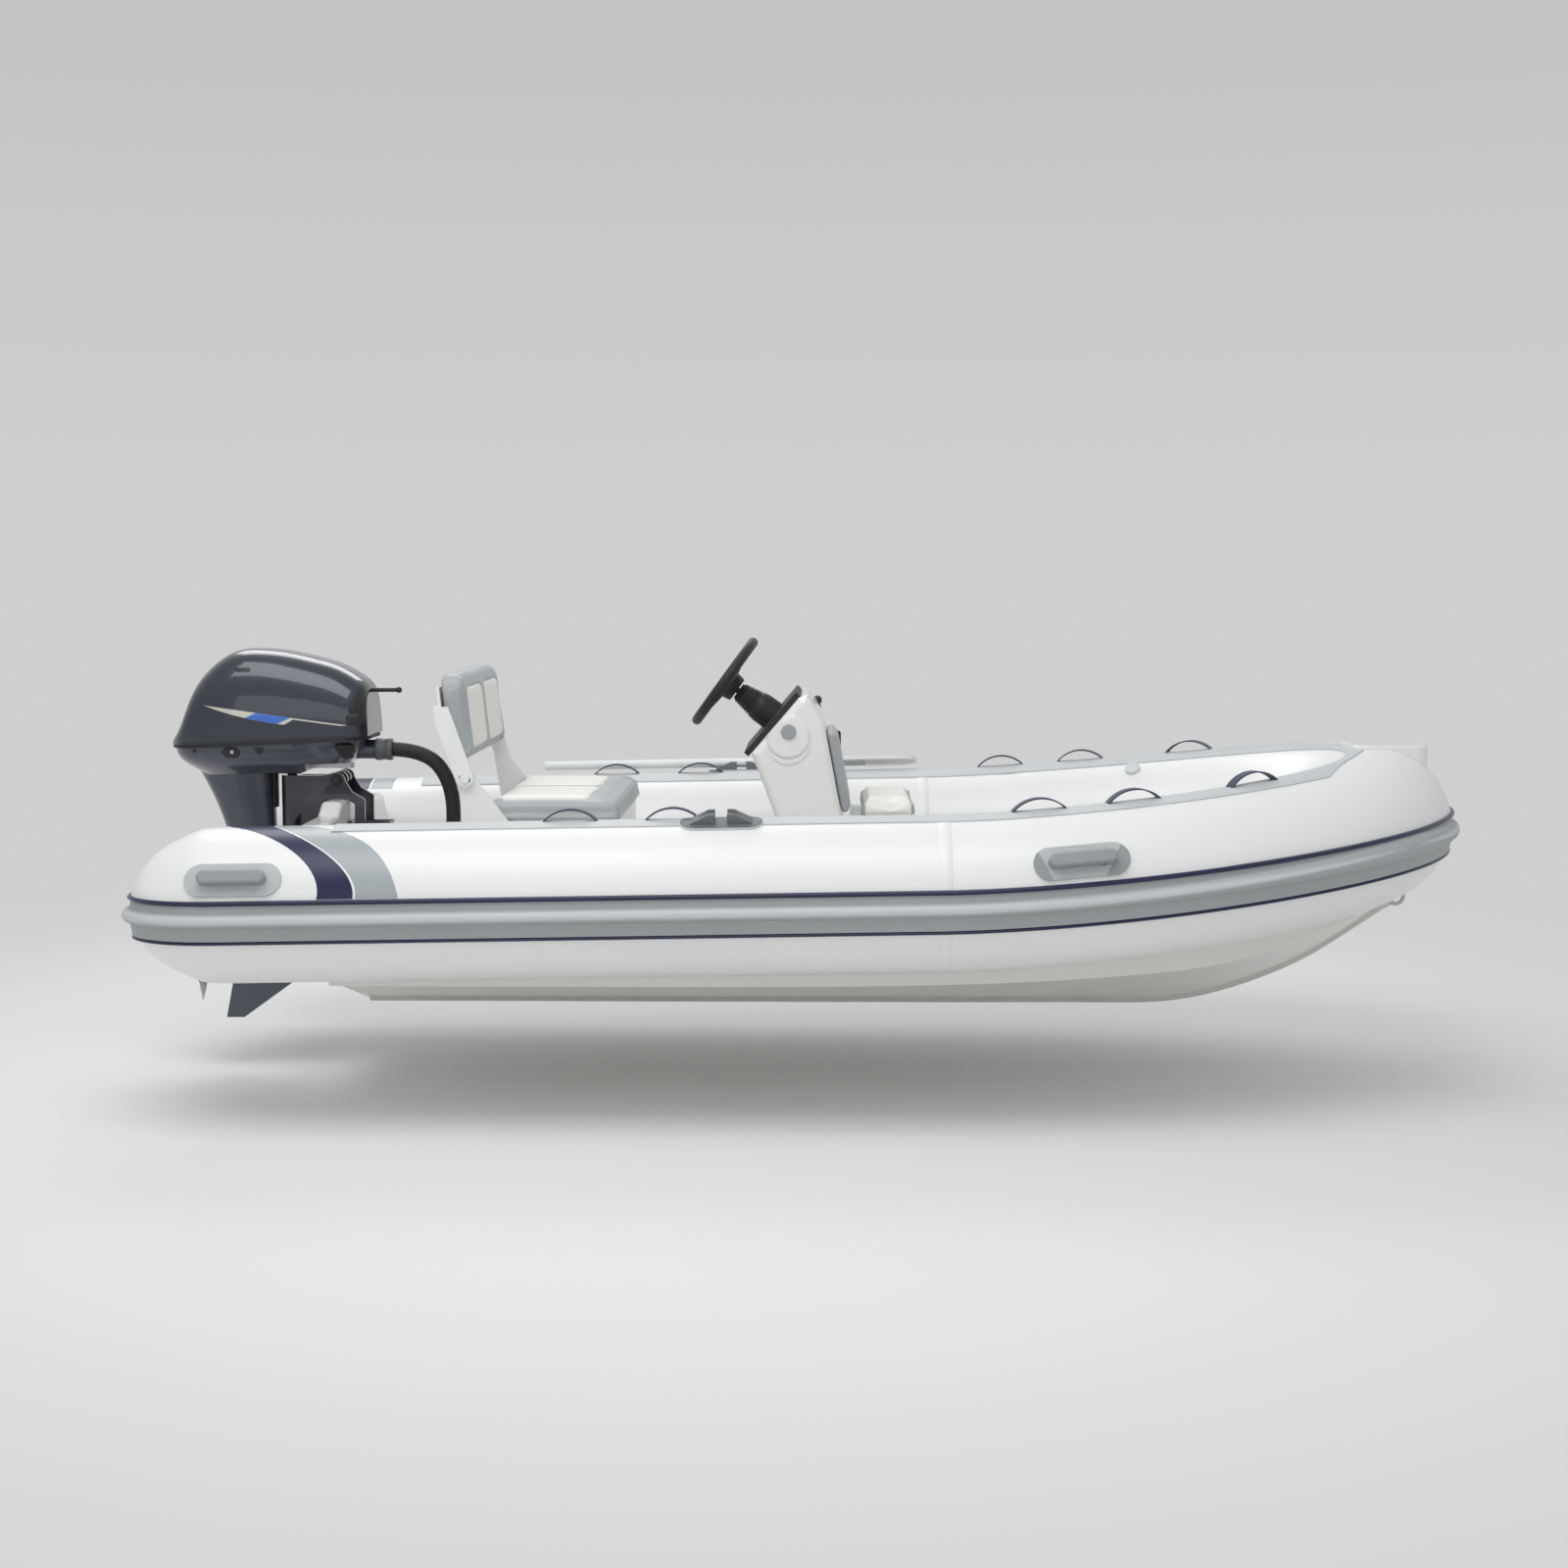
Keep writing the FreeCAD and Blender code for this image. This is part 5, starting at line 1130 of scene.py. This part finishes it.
# %% Mouldings, grip, metals and hose
black_moulding = Finish("Black moulding", tint(34, 35, 38), 0.5)
black_moulding.grain(cells=800.0, depth=0.00010, drift=6.0, tone=0.12, gloss=0.1)
dress(black_moulding, "cowl_seal", "console_dash", "helm_hub", "remote_control", "engine_block")
dress(black_moulding, "cowl_handle", "deck_gland", "swivel_pin")
soft_grip = Finish("Wheel grip", tint(30, 31, 33), 0.58, sheen=0.15)
dress(soft_grip.grain(cells=520.0, depth=0.00028, drift=6.0, tone=0.15, gloss=0.08), "steering_wheel")
steel = Finish("Brushed steel", tint(196, 198, 200), 0.28, metallic=1.0)
dress(steel.grain(cells=1500.0, depth=0.00002, tone=0.06, gloss=0.08), "bow_eye", "steering_arm")
alloy = Finish("Propeller alloy", tint(150, 152, 156), 0.38, metallic=0.9)
dress(alloy.grain(cells=900.0, depth=0.00004, tone=0.08, gloss=0.1), "propeller")
hose_rubber = Finish("Hose rubber", tint(38, 36, 36), 0.55)
dress(hose_rubber.grain(cells=900.0, depth=0.00008, tone=0.15), hose_upper, hose_lower)
grey_moulding = Finish("Grey moulding", tint(158, 163, 165), 0.48)
dress(grey_moulding.grain(cells=600.0, depth=0.00010, tone=0.04), "console_cap")
dark_moulding = Finish("Dark grey moulding", tint(92, 95, 99), 0.5).grain(cells=600.0, depth=0.00010, tone=0.08)
print("mouldings, grip, metals and hose dressed")


# %% Fittings on the tubes, the paddle and the webbing
def two_tone(name, pad_colour, raised_colour, pad_height=0.0075):
    """Rubber whose glued pad is pale and whose raised part is darker, told apart by distance from the axis."""
    finish = Finish(name, pad_colour, 0.5).grain(cells=600.0, depth=0.00010, tone=0.04)
    bend = finish.maths("POWER", bow_share(finish), bow_fullness)
    aside = finish.maths("MULTIPLY_ADD", bend, tube_half_spacing / bow_fullness, beside_axis(finish))
    reach = finish.distance(aside, above_axis(finish))
    return finish.over(finish.maths("GREATER_THAN", reach, tube_radius + pad_height), raised_colour)


dress(two_tone("Oar clip rubber", tint(206, 209, 210), tint(104, 107, 111)), "oar_clips")
dress(two_tone("Lift handle rubber", tint(190, 194, 195), tint(150, 155, 157)), "lift_handles")
dress(Finish("Valve plastic", tint(214, 216, 217), 0.45).grain(cells=500.0, tone=0.04), "valves")
dress(Finish("Paddle plastic", tint(236, 237, 236), 0.35).grain(cells=300.0, tone=0.03), "paddle")
webbing = Finish("Webbing", tint(40, 46, 78), 0.75, sheen=0.3)
dress(webbing.weave(threads=420.0, depth=0.0003, dark=0.5), "grab_handles")
print("finishes:", len(bpy.data.materials))

# %% [markdown]
# ## Small fittings that follow a skin
# Plugs, latches and covers lie on curved mouldings. On the real engine they are clipped into recesses, so
# each one follows the surface under it.
# A fitting here is an outline seen from the side, dropped on to the CAD skin, with a rounded edge and a slight crown.

# %% Fitting tools
from mathutils.bvhtree import BVHTree

outline_y, outline_step = -0.6, 0.004


def skin_of(name):
    """A search tree over the skin of a CAD part."""
    mesh = cad_nodes[name].data
    return BVHTree.FromPolygons([v.co for v in mesh.vertices], [tuple(p.vertices) for p in mesh.polygons])


def outline(*corners):
    """A closed outline starboard of the boat, with no edge longer than the outline step."""
    points = [Vector((x, outline_y, z)) for x, z in corners]
    result = []
    for a, b in zip(points, points[1:] + points[:1]):
        pieces = max(1, math.ceil((b - a).length / outline_step))
        result += [a.lerp(b, i / pieces) for i in range(pieces)]
    return result


def rounded_box(low_x, low_z, high_x, high_z, corner):
    right, left, top, bottom = high_x - corner, low_x + corner, high_z - corner, low_z + corner
    points = []
    for quarter, (cx, cz) in enumerate(((right, top), (left, top), (left, bottom), (right, bottom))):
        for k in range(5):
            t = math.radians(90 * quarter + 22.5 * k)
            points.append((cx + corner * math.cos(t), cz + corner * math.sin(t)))
    return outline(*points)


def fitting(surface, line, lift, sink=0.0015):
    """A thin closed part on a skin, from an outline that is seen from starboard."""
    middle = sum(line, Vector()) / len(line)
    levels = (1.0, -sink), (1.0, lift * 0.55), (0.97, lift * 0.9), (0.90, lift), (0.45, lift * 1.15)
    rings = []
    for share, height in levels:
        ring = []
        for point in line:
            here = middle.lerp(point, share)
            hit, out, _, _ = surface.ray_cast(here, portward)
            if hit is None:
                hit, out, _, _ = surface.find_nearest(here + portward * 0.4)
            ring.append(hit + out * height)
        rings.append(ring)
    return skin(rings)


def disc_part(centre, out, radius, thickness, steps, dome=0.0):
    """A low turned part: a washer, a bolt head or a cap."""
    out = Vector(out).normalized()
    side = out.orthogonal().normalized()
    above = out.cross(side)
    rings = []
    for share, height in ((1.0, -0.001), (1.0, thickness * 0.75), (0.92, thickness), (0.5, thickness + dome)):
        rings.append([Vector(centre) + out * height + (side * u + above * v) * share for u, v in circle(radius, steps)])
    return skin(rings)


def place(name, parts, finish=black_moulding, body="engine", slot="black_plastic"):
    obj = join_parts(name, parts)
    dress(finish, obj)
    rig.ride(obj, body)
    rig.slot(obj, slot)
    print(name, len(obj.data.polygons), "faces")


print("fitting tools ready")

# %% Cowl and pan fittings on the starboard side
cowl_skin, pan_skin = skin_of("engine_cowl"), skin_of("engine_pan")
place("cowl_intake_slot", [fitting(cowl_skin, rounded_box(-1.694, 0.777, -1.648, 0.788, 0.005), 0.0012)])
plug_centre, plug_half = (-1.7015, 0.548), (0.0275, 0.0175)
hexagon = []
for k, t in enumerate(turns_of(6)):
    wide = plug_half[0] * (1.0 if k % 3 == 0 else 1.15)
    hexagon.append((plug_centre[0] + wide * math.cos(t), plug_centre[1] + plug_half[1] * math.sin(t)))
plugs = [
    fitting(pan_skin, outline(*hexagon), 0.003),
    fitting(pan_skin, outline((-1.604, 0.562), (-1.637, 0.562), (-1.621, 0.5385)), 0.002),
    fitting(pan_skin, rounded_box(-1.8175, 0.5450, -1.8055, 0.5550, 0.0045), 0.002),
]
place("pan_plugs", plugs)
screw_seat, screw_out, _, _ = pan_skin.ray_cast(Vector((-1.697, outline_y, 0.5505)), portward)
screw = disc_part(screw_seat + screw_out * 0.003, screw_out, 0.0065, 0.003, 6)
place("pan_screw", [screw], finish=steel, slot="steel")
latch = [
    fitting(cowl_skin, rounded_box(-1.374, 0.626, -1.338, 0.655, 0.006), 0.007, sink=0.003),
    fitting(cowl_skin, rounded_box(-1.366, 0.660, -1.346, 0.708, 0.005), 0.003, sink=0.002),
]
place("cowl_latch", latch)

# %% Wiring block and hose collar at the engine's front, and a black cover whose black is painted shade on the leg's front
wiring = [
    fitting(pan_skin, rounded_box(-1.408, 0.548, -1.366, 0.571, 0.005), 0.012, sink=0.003),
    fitting(pan_skin, rounded_box(-1.398, 0.530, -1.372, 0.549, 0.005), 0.009, sink=0.003),
]
place("wiring_block", wiring)
collar_profile = (
    (-1.3180, 0.0279),
    (-1.3180, 0.0310),
    (-1.3130, 0.0318),
    (-1.3020, 0.0318),
    (-1.2995, 0.0300),
    (-1.2860, 0.0300),
    (-1.2835, 0.0318),
    (-1.2735, 0.0318),
    (-1.2690, 0.0305),
    (-1.2690, 0.0222),
)
collar_rings = [[Vector((x, u, 0.545 + v)) for u, v in circle(radius, 32)] for x, radius in collar_profile]
place("hose_collar", [skin(collar_rings)], finish=dark_moulding)
casing_skin = skin_of("engine_casing")
# The black cover on the leg's front stands where the leg lies in shade: its black is painted shade.
cover_low, cover_step, front, half, bevel = 0.376, 0.012, -1.6075, 0.019, 0.006
cover_rings = []
for k in range(10):
    height = cover_low + cover_step * k
    hit, _, _, _ = casing_skin.ray_cast(Vector((-1.40, 0.0, height)), -forward)
    starboard = (hit.x - 0.003, -half), (front - bevel, -half), (front, bevel - half)
    port = [(x, -y) for x, y in reversed(starboard)]
    cover_rings.append([Vector((x, y, height)) for x, y in (*starboard, *port)])
place("leg_front_shade_cover", [skin(cover_rings)])

# %% Tilt pivot nuts and backrest bolts
nuts, bolts = [], []
for side in (-1, 1):
    nuts.append(disc_part((-1.420, side * 0.0735, 0.460), (0, side, 0), 0.0175, 0.0030, 28))
    nuts.append(disc_part((-1.420, side * 0.0765, 0.460), (0, side, 0), 0.0125, 0.0130, 6))
    for x, z in ((-1.009, 0.498), (-0.991, 0.492)):
        bolts.append(disc_part((x, side * 0.3880, z), (0, side, 0), 0.0062, 0.0035, 18, dome=0.001))
place("tilt_pivot_nuts", nuts, body="boat")
place("backrest_bolts", bolts, body="backrest")

# %% [markdown]
# ## Helm
# The wheel's boss is a moulded cone behind the spokes, and the column wears a bellows. Both are turned forms
# on the column's line.
# The boss turns with the wheel and stops short of the bellows, which stays with the boat.

# %% Wheel boss and column bellows
wheel_centre, column_slope = Vector((-0.287, 0.0, 0.735)), math.radians(36)
column = Vector((-math.cos(column_slope), 0.0, math.sin(column_slope)))


def turned(profile):
    """A turned part on the steering column from (distance below the wheel, radius) pairs."""
    above = column.cross(portward)
    rings = []
    for below, radius in profile:
        rings.append([wheel_centre - column * below + portward * u + above * v for u, v in circle(radius, 36)])
    return skin(rings)


boss_profile = (
    (0.0285, 0.014),
    (0.0285, 0.033),
    (0.0262, 0.0368),
    (0.010, 0.0400),
    (0.002, 0.0405),
    (-0.004, 0.0380),
    (-0.0085, 0.0315),
    (-0.0105, 0.020),
    (-0.0110, 0.008),
)
place("wheel_boss", [turned(boss_profile)], finish=soft_grip, body="wheel", slot="wheel")
boot_length, folds = 0.098, 6
bellows = [(0.0345, 0.014), (0.0345, 0.0235), (0.037, 0.0255)]
for k in range(folds):
    start = 0.040 + (boot_length - 0.046) * k / folds
    wide = 0.0275 + 0.0085 * k / (folds - 1)
    for further, wider in ((0.0, 0.0), (0.0030, 0.0030), (0.0055, 0.0030), (0.0080, -0.0005)):
        bellows.append((start + further, wide + wider))
for further, radius in ((-0.004, 0.040), (0.012, 0.043), (0.030, 0.044), (0.030, 0.010)):
    bellows.append((boot_length + further, radius))
place("column_bellows", [turned(bellows)], body="boat")

# %% [markdown]
# ## Extents
# The last cell measures the dressed boat and writes its box and the frame's box to a file.

# %% Finish
look_low, look_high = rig.bounds()
with open("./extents.json", "w") as sizes:
    json.dump({"cad": [list(cad_low), list(cad_high)], "visual": [list(look_low), list(look_high)]}, sizes)
print("cad", [round(v, 4) for v in (*cad_low, *cad_high)])
print("visual", [round(v, 4) for v in (*look_low, *look_high)])
